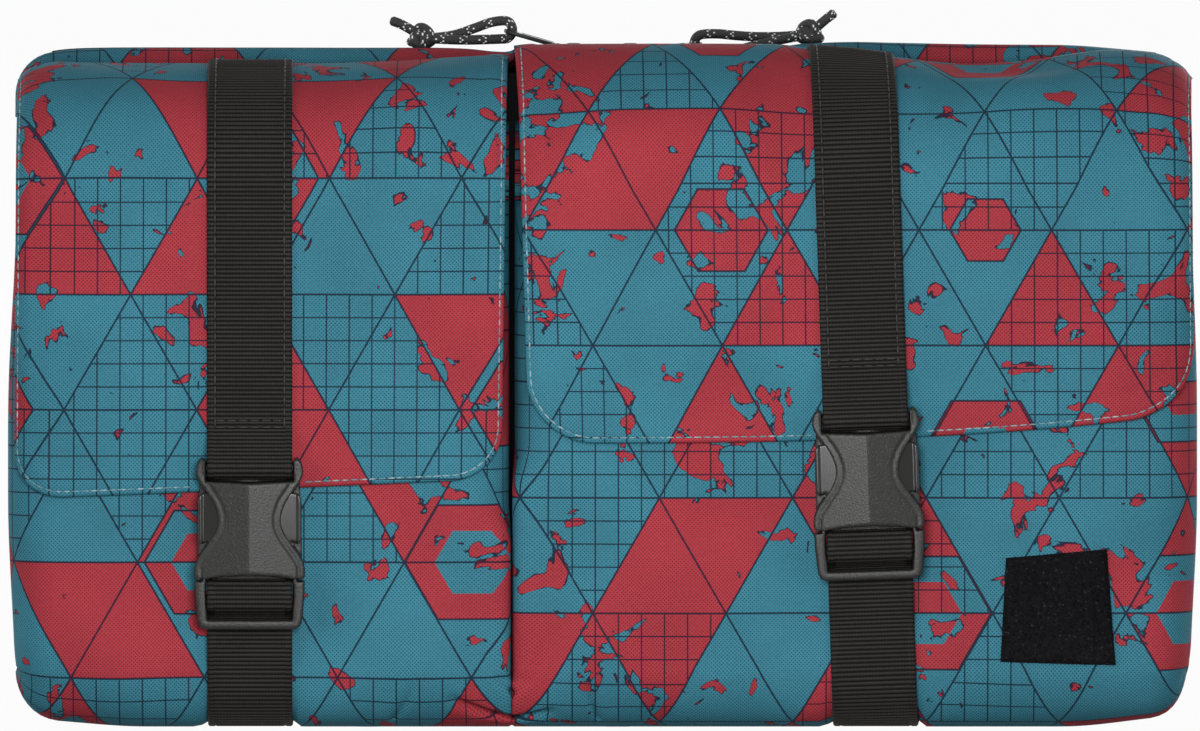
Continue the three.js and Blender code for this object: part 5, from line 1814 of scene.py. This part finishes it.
@dataclass
class Pull:
    """A zip slider with its tab, doubled cord and knot."""

    side: Side
    park: float
    tilt: float
    route: list[Spot]
    knot: Spot
    tail: list[Spot]
    pin_y: float = 20.0
    pin_z: float = 196.7
    cord_radius: float = 1.45
    core_radius: float = 3.1
    knot_size: Spot = (1.12, 1.05, 2.0)
    knot_lean: tuple[float, float] = (math.radians(62), math.radians(24))

    @property
    def name(self) -> str:
        """Name of the side."""
        return self.side.value

    def along_zip(self, points: Sequence[Sequence[float]]) -> Points:
        """Bring points from the slider's frame into the bag's."""
        way = self.side.outward
        spots = np.asarray(points, float)
        return np.array([way * self.park, self.pin_y, self.pin_z]) + spots * (way, way, 1)

    def build(self) -> None:
        """Make the slider, the tab, the cord and the knot."""
        self.build_slider()
        self.build_tab()
        self.build_cord()

    def build_slider(self) -> None:
        """Make the slider's two wings, its post and its bridge."""
        nose = [(4.5, 0.0), (4.4, 2.2), (3.5, 3.06), (0.8, 3.2)]
        wing = np.array([*nose, (-1.2, 4.0), (-4.5, 4.25), (-4.5, 0.0)])
        outline = np.concatenate([wing, wing[-2:0:-1] * (1, -1)])

        def shape(x: Points, y: Points, z: Points) -> Points:
            """Field of the slider, from the pin."""
            plan = prism(outline, x, y)
            upper = within(0.7, plan, z + 1.3, -2.8 - z)
            lower = within(0.7, plan, z + 6.0, -7.5 - z)
            post = np.maximum(np.maximum(np.abs(x) - 1.5, np.abs(y) - 0.4), np.abs(z + 4.4) - 2.4)
            span = np.hypot(np.maximum(np.abs(x) - 1.2, 0), np.maximum(z - 0.2, 0)) - 2.0
            arch = within(0.4, np.abs(span + 0.55) - 0.5, np.abs(y) - 1.0, -2.2 - z)
            return np.minimum(np.minimum(upper, lower), np.minimum(post, arch))

        points, faces = moulded(shape, (-4.8, -4.5, -7.8), (4.8, 4.5, 2.6), pitch=0.28)
        name, mesh = self.name, (self.along_zip(points), faces)
        add_piece(f"{name}_slider", mesh, METAL, f"slider_{name}", "slider_metal", f"zip_slider_{name}")

    def build_tab(self) -> None:
        """Make the pull tab, with its pin, window and eye."""
        arc = np.linspace(-math.pi / 2, math.pi / 2, 20)
        end = stacked(18.9 + 2.6 * np.cos(arc), 0.8 * np.sin(arc) + 2.6 * np.sin(arc))
        outline = np.concatenate([[(-0.65, -3.4), (8.0, -3.1)], end, [(8.0, 3.1), (-0.65, 3.4)]])
        slot = np.array([(0.65, -1.6), (5.25, -1.6), (5.25, 1.6), (0.65, 1.6)])

        def shape(x: Points, y: Points, z: Points) -> Points:
            """Field of the tab, from the pin outwards."""
            plan, opening = prism(outline, x, y), prism(slot, x, y)
            eye = np.hypot(x - 19.0, y) - 1.8
            thin = 0.62 - 0.16 * ((plan < -0.9) & (x > 6.4) & (x < 16.2))
            return within(0.45, plan, np.abs(z) - thin, -opening, -eye)

        points, faces = moulded(shape, (-1.0, -3.8, -1.0), (22.0, 3.8, 1.0), pitch=0.22)
        cos, sin = math.cos(self.tilt), math.sin(self.tilt)
        turned = points @ np.array([(cos, 0, sin), (0, 1, 0), (-sin, 0, cos)])
        name, mesh = self.name, (self.along_zip(turned), faces)
        add_piece(f"{name}_tab", mesh, METAL, f"pull_{name}", "slider_metal", f"pull_tab_{name}")

    def braid(self, part: str, node: str, *tubes: tuple[Points, float | Points]) -> bpy.types.Object:
        """Make braided tubes as one piece.

        Args:
            part: Name of the piece.
            node: CAD node it replaces.
            tubes: Centre line and radius of each tube.

        Returns:
            The piece, with the place round and along each tube as its flat place.
        """
        sides = 16
        around = 1 - np.abs(1 - 2 * np.arange(sides) / sides)
        flats = [stacked(around[None, :], travelled(line)[:, None]).reshape(-1, 2) for line, _ in tubes]
        mesh = merged(tube(*each, sides) for each in tubes)
        name, node = f"{self.name}_pull_{part}", f"pull_{node}_{self.name}"
        return add_piece(name, mesh, BRAID, f"pull_{self.name}", "pull_cord", node, uv=np.concatenate(flats))

    def build_cord(self) -> None:
        """Make the doubled cord, and the stopper knot with its tail."""
        middle = np.array(self.knot)
        entry = [0.4 * np.array(self.route[end]) + 0.6 * middle for end in (0, -1)]
        line = spline(self.along_zip([entry[0], *self.route, entry[1]]), 240)
        cord = self.braid("braid", "cord", (line, self.cord_radius))
        t = np.linspace(0, 2 * math.pi, 220)
        trefoil = stacked(np.sin(t) + 2 * np.sin(2 * t), np.cos(t) - 2 * np.cos(2 * t), -np.sin(3 * t))
        trefoil = trefoil * self.knot_size
        tip, turn = self.knot_lean
        lean = Matrix.Rotation(tip, 3, "Y") @ Matrix.Rotation(turn, 3, "Z")
        wraps = self.along_zip(middle + trefoil @ np.array(lean).T)
        tail = spline(self.along_zip(self.tail), 40)
        blunt = self.cord_radius * np.minimum(1.0, 0.55 + 0.45 * np.linspace(12, 0, 40))
        through = [(-4.4, 0, 0.2), (-1.5, 0, 0), (1.5, 0, 0), (3.4, 0, 0.4)]
        core = spline(self.along_zip(middle + through), 24)
        plump = self.core_radius * np.sqrt(np.sin(np.linspace(0.25, math.pi - 0.25, 24)))
        knot = self.braid("stopper", "knot", (wraps, self.cord_radius), (tail, blunt), (core, plump))
        length_of(line) * MM


@dataclass
class StrapRing:
    """Webbing tab and rectangular ring on the back, for a clip-on strap."""

    side: Side
    inset: float = 26.0
    start: float = 6.0
    sewn: float = 20.0
    free: float = 9.0
    wire: float = 1.75
    width: float = 34.2
    height: float = 21.0
    back_y: float = 54.0
    top: float = 193.0
    half_width: float = 174.5
    bend: float = 2.5
    box_half: float = 9.5
    box_inset: float = 2.0

    def build(self) -> None:
        """Make the tab, its box stitch and the ring."""
        name, webbing = self.side.value, Webbing()
        x = self.side.outward * (self.half_width - self.inset)
        bar = self.start + self.sewn + self.free
        bar_offset = GAP + webbing.thick + GAP + self.wire

        def place(across: Points, along: Points, offset: Points) -> Points:
            """Lay places of the tab on the back panel."""
            return stacked(x - across, self.back_y + offset, self.top - along)

        level, stitch = GAP + webbing.thick / 2, self.start + self.sewn
        path = webbing.loop(self.start, stitch, level, bar, bar_offset, self.wire)
        webbing.ribbon(f"{name}_back_tab", path, place, f"strap_tab_{name}")

        half, low = self.box_half, self.start + self.box_inset
        high = self.start + self.sewn - self.box_inset
        box = np.array([(-half, low), (half, low), (half, high), (-half, high), (-half, low), (half, high)])
        cross = np.array([(-half, high), (half, low)])
        lift = GAP + webbing.thick + 0.06
        seams = [place(*resampled(line, 200).T, lift) for line in (box, cross)]
        threads = stitches(seams, length=2.2, gap=0.8, radius=0.26)
        add_piece(f"{name}_back_tab_stitching", threads, BLACK_THREAD, "bag", "webbing")

        reach, drop = self.width / 2 - self.wire, self.height / 2 - self.wire
        middle = self.wire - self.height / 2

        def shape(u: Points, v: Points, w: Points) -> Points:
            """Field of the ring, a round wire along a rounded frame."""
            over_u, over_v = np.abs(u) - reach + self.bend, np.abs(v - middle) - drop + self.bend
            plan = np.hypot(np.maximum(over_u, 0), np.maximum(over_v, 0))
            plan = plan + np.minimum(np.maximum(over_u, over_v), 0) - self.bend
            return np.hypot(plan, w) - self.wire

        low, high = (-self.width / 2, -self.height, -self.wire), (self.width / 2, self.wire + 1, self.wire)
        points, faces = moulded(shape, low, high, pitch=0.5)
        left, up, out = np.array([(-1.0, 0.0, 0.0), (0.0, 0.0, 1.0), (0.0, 1.0, 0.0)])
        stand = Stand(np.array([x, self.back_y + bar_offset, self.top - bar]), left, up, out)
        mesh = stand.set(points), faces
        add_piece(f"{name}_back_ring", mesh, METAL, f"ring_{name}", "slider_metal", f"strap_ring_{name}")


# Main compartment


@dataclass
class MainCompartment:
    """The zipped compartment behind the pockets."""

    width: float = 349.0
    height: float = 193.0
    bottom_corner: float = 17.0
    top_corner: float = 9.0
    strip_drop: float = 16.0
    front_y: float = -6.0
    back_y: float = 54.0
    cloth: float = 2.0
    padding: float = 8.0
    sewn_edge: float = 3.2
    channels: tuple[float, float] = (58.0, 112.0)
    zip_y: float = 20.0
    tape_half: float = 3.4
    zip_half: float = 150.0
    tape_width: float = 6.6
    piping: float = 1.3
    zip_fullness: float = 4.2
    tape_thick: float = 0.5
    tape_lift: float = 0.45
    seam_inset: float = 1.3
    side_bulge: float = 0.7
    rear_crown: float = 1.6
    edge_roll: float = 5.0
    groove_depth: float = 4.2
    groove_half: float = 2.6
    groove_bow: float = 4.0
    dimple: float = 0.25
    gusset_print: tuple[float, float] = (37.0, 11.0)
    strip_print: tuple[float, float] = (0.0, 140.0)

    @property
    def half(self) -> float:
        """Half the width."""
        return self.width / 2

    def rim(self, inset: float = 0.0) -> Points:
        """Run a line round the compartment, up from the middle of its left side.

        Args:
            inset: Distance in from the outline.

        Returns:
            X and Z along the line, clockwise as seen from the front.
        """
        top, low = self.top_corner, self.bottom_corner
        half, height = self.half, self.height
        line = [np.array([(-half, height / 2)])]
        for x, z, radius, start in (
            (top - half, height - top, top, math.pi),
            (half - top, height - top, top, math.pi / 2),
            (half - low, low, low, 0.0),
            (low - half, low, low, -math.pi / 2),
        ):
            turn = np.linspace(start, start - math.pi / 2, 24)
            line.append(stacked(x + radius * np.cos(turn), z + radius * np.sin(turn)))
        path = np.concatenate([*line, line[0]])
        path = resampled(path, 1400)
        path[:, 0] *= self.taper(path[:, 1])
        return path - inset * self.outward(path)

    def taper(self, z: Points) -> Points:
        """Give the share of the width at a height: less towards the top and the bottom."""
        return 1 - 0.0155 * ease(100.0, 186.0, z) - 0.009 * (1 - ease(6.0, 46.0, z))

    def outward(self, line: Points) -> Points:
        """Give the outward direction at each point of a clockwise line."""
        heading = headings(line)
        return stacked(-heading[:, 1], heading[:, 0])

    @cached_property
    def over_top(self) -> Points:
        """Line over the top, from the left strip end to the right one."""
        line = self.rim()
        line = line[np.argmax(line[:, 1] > self.height - self.strip_drop) :]
        return resampled(line[: np.argmax(line[:, 1] < self.height - self.strip_drop)], 260)

    @cached_property
    def round_bottom(self) -> Points:
        """Line down the right side, along the bottom and up the left side."""
        line = self.rim()
        split = int(np.argmax(line[:, 0] > 0))
        high = int(np.argmax(line[:, 1] > self.height - self.strip_drop))
        line = np.concatenate([line[split:], line[1:high]])
        return resampled(line[np.argmax(line[:, 1] < self.height - self.strip_drop - GAP) :], 200)

    def band(
        self, line: Points, front: float, rear: float, swell: Crown, thick: float = 2.0
    ) -> tuple[Mesh, Points]:
        """Lay a strip of cloth along a line.

        Args:
            line: X and Z of its outer face.
            front: Y of its front edge.
            rear: Y of its rear edge.
            swell: Gives how far it stands proud, from X along the line and the share of its depth.
            thick: Thickness of the strip.

        Returns:
            The mesh and its flat places.
        """
        columns = max(int((rear - front) / 1.6), 6)
        share = np.linspace(0, 1, columns)[None, :]
        out = self.outward(line)
        lift = swell(line[:, :1], share) * np.ones((len(line), columns))
        layers = []
        for depth in (0.0, thick):
            x = line[:, :1] + out[:, :1] * (lift - depth)
            z = line[:, 1:] + out[:, 1:] * (lift - depth)
            layers.append(stacked(x, front + (rear - front) * share, z))
        flat = stacked(travelled(line)[:, None], front - rear * share).reshape(-1, 2)
        return slab(*layers), np.tile(flat, (2, 1))

    @property
    def span(self) -> tuple[float, float]:
        """Y of the front and rear edges of the gusset and the top."""
        return self.front_y + self.cloth + GAP, self.back_y - self.padding - GAP

    def build(self) -> None:
        """Make every panel, strip and edging."""
        self.build_front()
        self.build_gusset()
        self.build_top()
        self.build_back()
        self.build_piping()

    def half_at(self, z: Points, inset: float = 0.0) -> Points:
        """Give half the width at a height, inside the rounded corners."""
        low = np.clip(self.bottom_corner - z, 0, self.bottom_corner)
        high = np.clip(z - self.height + self.top_corner, 0, self.top_corner)
        cut = self.bottom_corner - np.sqrt(self.bottom_corner**2 - low**2)
        cut = cut + self.top_corner - np.sqrt(self.top_corner**2 - high**2)
        return (self.half - cut) * self.taper(z) - inset

    def build_front(self) -> None:
        """Make the plain panel that the pockets and the gusset are sewn to; its narrowed foot reaches down to
        0.6 mm, so that its dark cloth also stands as painted shade in the gap between the pockets' feet.
        """
        # Painted shade: the panel's narrowed foot fills the gap between the pockets' feet with dark cloth.
        z = np.linspace(self.height - 1.5, 0.6, 60)[:, None]
        x = self.half_at(z, 2.2 + 7.0 * (1 - ease(0.6, 4.0, z))) * np.linspace(-1, 1, 16)[None, :]
        outer = stacked(x, self.front_y - 2 * GAP, z)
        mesh = slab(outer, outer + np.array([0, self.cloth + 4 * GAP, 0]))
        add_piece("front_lining", mesh, LINING, "bag", "lining_cloth", "main_front_panel")

    def build_gusset(self) -> None:
        """Make the cloth round the sides and bottom."""

        def swell(x: Points, share: Points) -> Points:
            """Bulge at the sides and none below."""
            side = ease(self.half - 9.0, self.half - 4.0, np.abs(x))
            return self.side_bulge * side * np.sin(math.pi * share)

        mesh, flat = self.band(self.round_bottom, *self.span, swell)
        flat = flat + self.gusset_print
        add_piece("side_gusset", mesh, PRINTED, "bag", "printed_cloth", "main_gusset", uv=flat)

    def build_top(self) -> None:
        """Make the strips beside the zip, their topstitching and the ends of the zip."""
        front, rear = self.span

        def fore(x: Points, share: Points) -> Points:
            """Crown of the front strip, from the flaps' seam to the zip."""
            inside = 1 - ease(160.0, 172.0, np.abs(x))
            seam = 0.6 + (TOP_LINE.rise(x - 5.0) + TOP_LINE.rise(x) + TOP_LINE.rise(x + 5.0)) / 3
            full = TOP_LINE.fullness(x)
            full = full - np.maximum(full - self.zip_fullness, 0) * ease(0.6, 0.88, share)
            return full * np.sin(math.pi * share**1.25) + seam * (1 - share) ** 2 * inside

        def aft(x: Points, share: Points) -> Points:
            """Crown of the rear strip."""
            return self.rear_crown * np.sin(math.pi * share) * (1 + 0.2 * ripples(x, x, 6, 50.0))

        near, far = self.zip_y - self.tape_half, self.zip_y + self.tape_half
        for name, low, high, crown in (("front", front, near, fore), ("rear", far, rear, aft)):
            mesh, flat = self.band(self.over_top, low, high, crown)
            flat = flat + self.strip_print
            node = f"zip_strip_{name}"
            add_piece(f"top_strip_{name}", mesh, PRINTED, "bag", "printed_cloth", node, uv=flat)
            self.build_tape(name, low, high, crown)
            inset = (self.tape_width - self.seam_inset) / (high - low)
            share = 1 - inset if name == "front" else inset
            line = resampled(self.over_top, 700)
            seam = line + self.outward(line) * (crown(line[:, :1], np.array([[share]])) + 0.5)
            seam = stacked(seam[:, 0], low + (high - low) * share, seam[:, 1])
            seam = seam[np.abs(seam[:, 0]) < self.zip_half + 8]
            threads = stitches([seam], length=2.5, gap=0.9, radius=0.24)
            add_piece(f"top_strip_{name}_stitching", threads, BLACK_THREAD, "bag", "printed_cloth")

        for name, way in (("left", -1), ("right", 1)):
            line = resampled(self.over_top[way * self.over_top[:, 0] > self.zip_half + GAP], 70)
            mesh, flat = self.band(line, near + GAP, far - GAP, lambda x, share: 0.0 * x * share)
            add_piece(f"zip_cloth_{name}", mesh, LINING, "bag", "lining_cloth", f"zip_end_{name}", uv=flat)

    def build_tape(self, name: str, low: float, high: float, crown: Crown) -> None:
        """Lay the zip's woven tape on the strip beside it.

        Args:
            name: Which strip.
            low: Y of the strip's front edge.
            high: Y of its rear edge.
            crown: Gives how far the strip stands proud.
        """
        part = self.tape_width / (high - low)
        start = 1 - part if name == "front" else 0.0
        line = resampled(self.over_top[np.abs(self.over_top[:, 0]) < self.zip_half + 14], 240)
        edges = low + (high - low) * start, low + (high - low) * (start + part)

        def lifted(x: Points, share: Points) -> Points:
            """Lie on the strip's crown."""
            return crown(x, start + part * share) + self.tape_lift

        mesh, flat = self.band(line, *edges, lifted, self.tape_thick)
        add_piece(f"zip_tape_{name}", mesh, COIL, "bag", "zip_chain", uv=flat)

    def build_back(self) -> None:
        """Make the padded back with its two sewn channels."""
        z = np.linspace(self.height - 0.01, 0.01, 124)[:, None]
        share = np.linspace(-1, 1, 124)[None, :]
        x = -self.half_at(z) * (share + np.sin(math.pi / 2 * share)) / 2
        edge = np.minimum(self.half_at(z) - np.abs(x), np.minimum(z, self.height - z))
        thick = self.sewn_edge + (self.padding - self.sewn_edge) * rounded(edge / self.edge_roll)
        for height in self.channels:
            away = z - height - self.groove_bow * (x / self.half) ** 2
            groove = np.exp(-((away / self.groove_half) ** 2))
            thick = thick - self.groove_depth * groove * ease(4.0, 16.0, edge)
        dimples = (1 + ripples(x, z, 21, 45.0)) * ease(6.0, 30.0, edge)
        thick = thick - self.dimple * dimples * (1 - ease(128.0, 136.0, z))
        inside = self.back_y - self.padding
        mesh = slab(stacked(x, inside + thick, z), stacked(x, inside, z))
        flat = mesh[0][:, [0, 2]]
        back = add_piece("back_padding", mesh, SPACER, "bag", "back_mesh", "back_panel", uv=flat)

    def build_piping(self) -> None:
        """Make the black cord sewn into the back panel's seam."""
        line = self.rim(self.piping * 0.4)
        path = resampled(stacked(line[:, 0], self.back_y - self.padding + 0.5, line[:, 1]), 360)
        add_piece("back_piping", tube(path, self.piping, sides=8), LINING, "bag", "lining_cloth")


# Studio


@dataclass(frozen=True)
class Lamp:
    """A soft square light that points at the bag."""

    name: str
    place: Spot
    size: float
    power: float
    aim: Spot = (0.0, -0.03, 0.1)

    def build(self) -> None:
        """Add the light."""
        data = bpy.data.lights.new(self.name, "AREA")
        data.energy = self.power
        data.size = self.size
        lamp = bpy.data.objects.new(self.name, data)
        lamp.location = self.place
        towards = Vector(self.aim) - Vector(self.place)
        lamp.rotation_euler = towards.to_track_quat("-Z", "Y").to_euler()
        bpy.context.scene.collection.objects.link(lamp)


@dataclass
class Studio:
    """White studio with the photograph's camera."""

    aim: Spot = (-1.2, -55.0, 108.2)
    elevation: float = math.radians(4.0)
    distance: float = 9000.0
    lens: float = 917.5
    sensor: float = 36.0
    floor_size: float = 9.0
    floor_drop: float = 0.2
    ambient: Colour = (0.21, 0.21, 0.22)
    lamps: tuple[Lamp, ...] = (
        Lamp("key", (-0.012, -0.64, 0.17), 0.2, 2.5),
        Lamp("left", (-1.4, -1.3, 0.3), 0.9, 8.0),
        Lamp("right", (1.4, -1.3, 0.3), 0.9, 6.5),
        Lamp("back", (0.4, 2.0, 0.3), 1.2, 16.0),
        Lamp("rear_left", (-1.6, 1.2, 0.35), 1.0, 14.0),
        Lamp("rear_right", (1.6, 1.2, 0.35), 1.0, 14.0),
    )

    def build(self) -> None:
        """Set up floor, lights, background and camera."""
        for lamp in self.lamps:
            lamp.build()
        self.build_floor()
        self.build_world()
        self.build_camera()
        bpy.context.scene.view_settings.view_transform = "Standard"

    def build_floor(self) -> None:
        """Lay the white floor."""
        half = self.floor_size / 2 / MM
        corners = np.array([(-half, -half, 0), (half, -half, 0), (half, half, 0), (-half, half, 0)])
        floor = add_mesh("studio_floor", (corners - (0, 0, self.floor_drop), [(0, 1, 2, 3)]), FLOOR.material)

    def build_world(self) -> None:
        """Make the background white where it is seen, and dimmer as a light."""
        world = bpy.data.worlds.new("studio")
        world.use_nodes = True
        bpy.context.scene.world = world
        graph = Graph(world.node_tree)
        path = graph.node("LightPath")
        seen = graph.out(path, "Is Camera Ray") + graph.out(path, "Is Glossy Ray")
        seen = graph.math("MINIMUM", seen + graph.out(path, "Is Transmission Ray"), 1.0)
        colour = graph.mix(seen, self.ambient, WHITE)
        background = world.node_tree.nodes["Background"]
        graph.put(background.inputs["Color"], colour)

    def build_camera(self) -> None:
        """Set the camera as the photograph's."""
        data = bpy.data.cameras.new("camera")
        data.lens = self.lens
        data.sensor_width = self.sensor
        camera = bpy.data.objects.new("camera", data)
        aim = Vector(self.aim) * MM
        away = Vector((0, -math.cos(self.elevation), math.sin(self.elevation))) * self.distance * MM
        camera.location = aim + away
        camera.rotation_euler = (-away).to_track_quat("-Z", "Y").to_euler()
        bpy.context.scene.collection.objects.link(camera)
        bpy.context.scene.camera = camera


LEFT_POCKET = Pocket(
    Side.LEFT, left=-174.5, right=-28.0, hem=68.6, hem_rise=6.0, hem_corner=15.0, hem_power=1.1,
    side_swell=1.3, corner_pull=2.2, strap_x=-104.3, buckle_z=45.0, lean=0.0, stitch_to_bar=11.5, seed=3,
    creases=[(-27.0, 3.6, -47.0, 11.0, 6.0), (-29.0, 9.0, -38.0, 30.0, 1.3), (-62.0, 5.0, -52.0, 20.0, 1.0)],
)
RIGHT_POCKET = Pocket(
    Side.RIGHT, left=-26.4, right=174.5, hem=85.0, hem_rise=9.0, hem_corner=20.0, strap_x=78.0,
    buckle_z=59.6, lean=math.radians(1.9), stitch_to_bar=14.9, seed=8, slant=3.8, corner_pull=3.2,
    creases=[(-27.4, 3.6, -13.0, 7.4, 5.6), (-25.0, 9.0, -13.0, 34.0, 1.4), (-2.0, 5.0, -9.0, 22.0, 1.0)],
    print_shift=(23.0, 15.0),
)
LEFT_PULL = Pull(
    Side.LEFT,
    park=9.0,
    tilt=math.radians(16),
    route=[
        (40.2, -1.6, 3.7), (35.0, -1.6, 4.5), (29.5, -1.3, 6.4), (24.5, -0.6, 8.2),
        (20.18, 0.0, 8.7), (18.5, 0.0, 7.37), (18.26, 0.0, 5.24), (19.59, 0.0, 3.56),
        (21.72, 0.0, 3.32), (26.0, 0.6, 3.2), (31.0, 1.2, 3.1), (36.0, 1.5, 3.2), (40.2, 1.6, 3.4),
    ],
    knot=(45.4, 0.0, 3.3),
    tail=[(47.0, 0.0, 5.3), (51.0, -0.2, 7.6), (54.4, -0.4, 8.9)],
)
RIGHT_PULL = Pull(
    Side.RIGHT,
    park=7.8,
    tilt=math.radians(5),
    route=[
        (48.2, 1.6, 4.2), (43.2, 1.6, 3.9), (37.2, 1.4, 3.9), (31.2, 0.9, 4.3), (26.2, 0.4, 4.8),
        (21.48, 0.0, 4.69), (19.57, 0.0, 3.7), (18.93, 0.0, 1.66), (19.92, 0.0, -0.25),
        (21.96, 0.0, -0.89), (26.2, -0.4, -0.8), (31.2, -1.0, 0.0), (37.2, -1.4, 1.5),
        (43.2, -1.6, 2.9), (48.2, -1.6, 3.9),
    ],
    knot=(53.4, 0.0, 4.5),
    tail=[(54.7, 0.0, 6.3), (57.7, 0.1, 8.9), (60.8, 0.2, 11.3)],
)


def main() -> None:
    """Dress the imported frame."""
    logging.basicConfig(level=logging.INFO, format="%(name)s: %(message)s")
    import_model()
    MainCompartment().build()
    for pocket in (LEFT_POCKET, RIGHT_POCKET):
        pocket.build_wrap()
        pocket.build_flap()
        buckle = Buckle(pocket)
        Straps(buckle).build()
        buckle.build()
    LoopPatch(RIGHT_POCKET).build()
    Zip().build()
    for pull in (LEFT_PULL, RIGHT_PULL):
        pull.build()
    for side in Side:
        StrapRing(side).build()
    Studio().build()


if __name__ == "__main__":
    main()
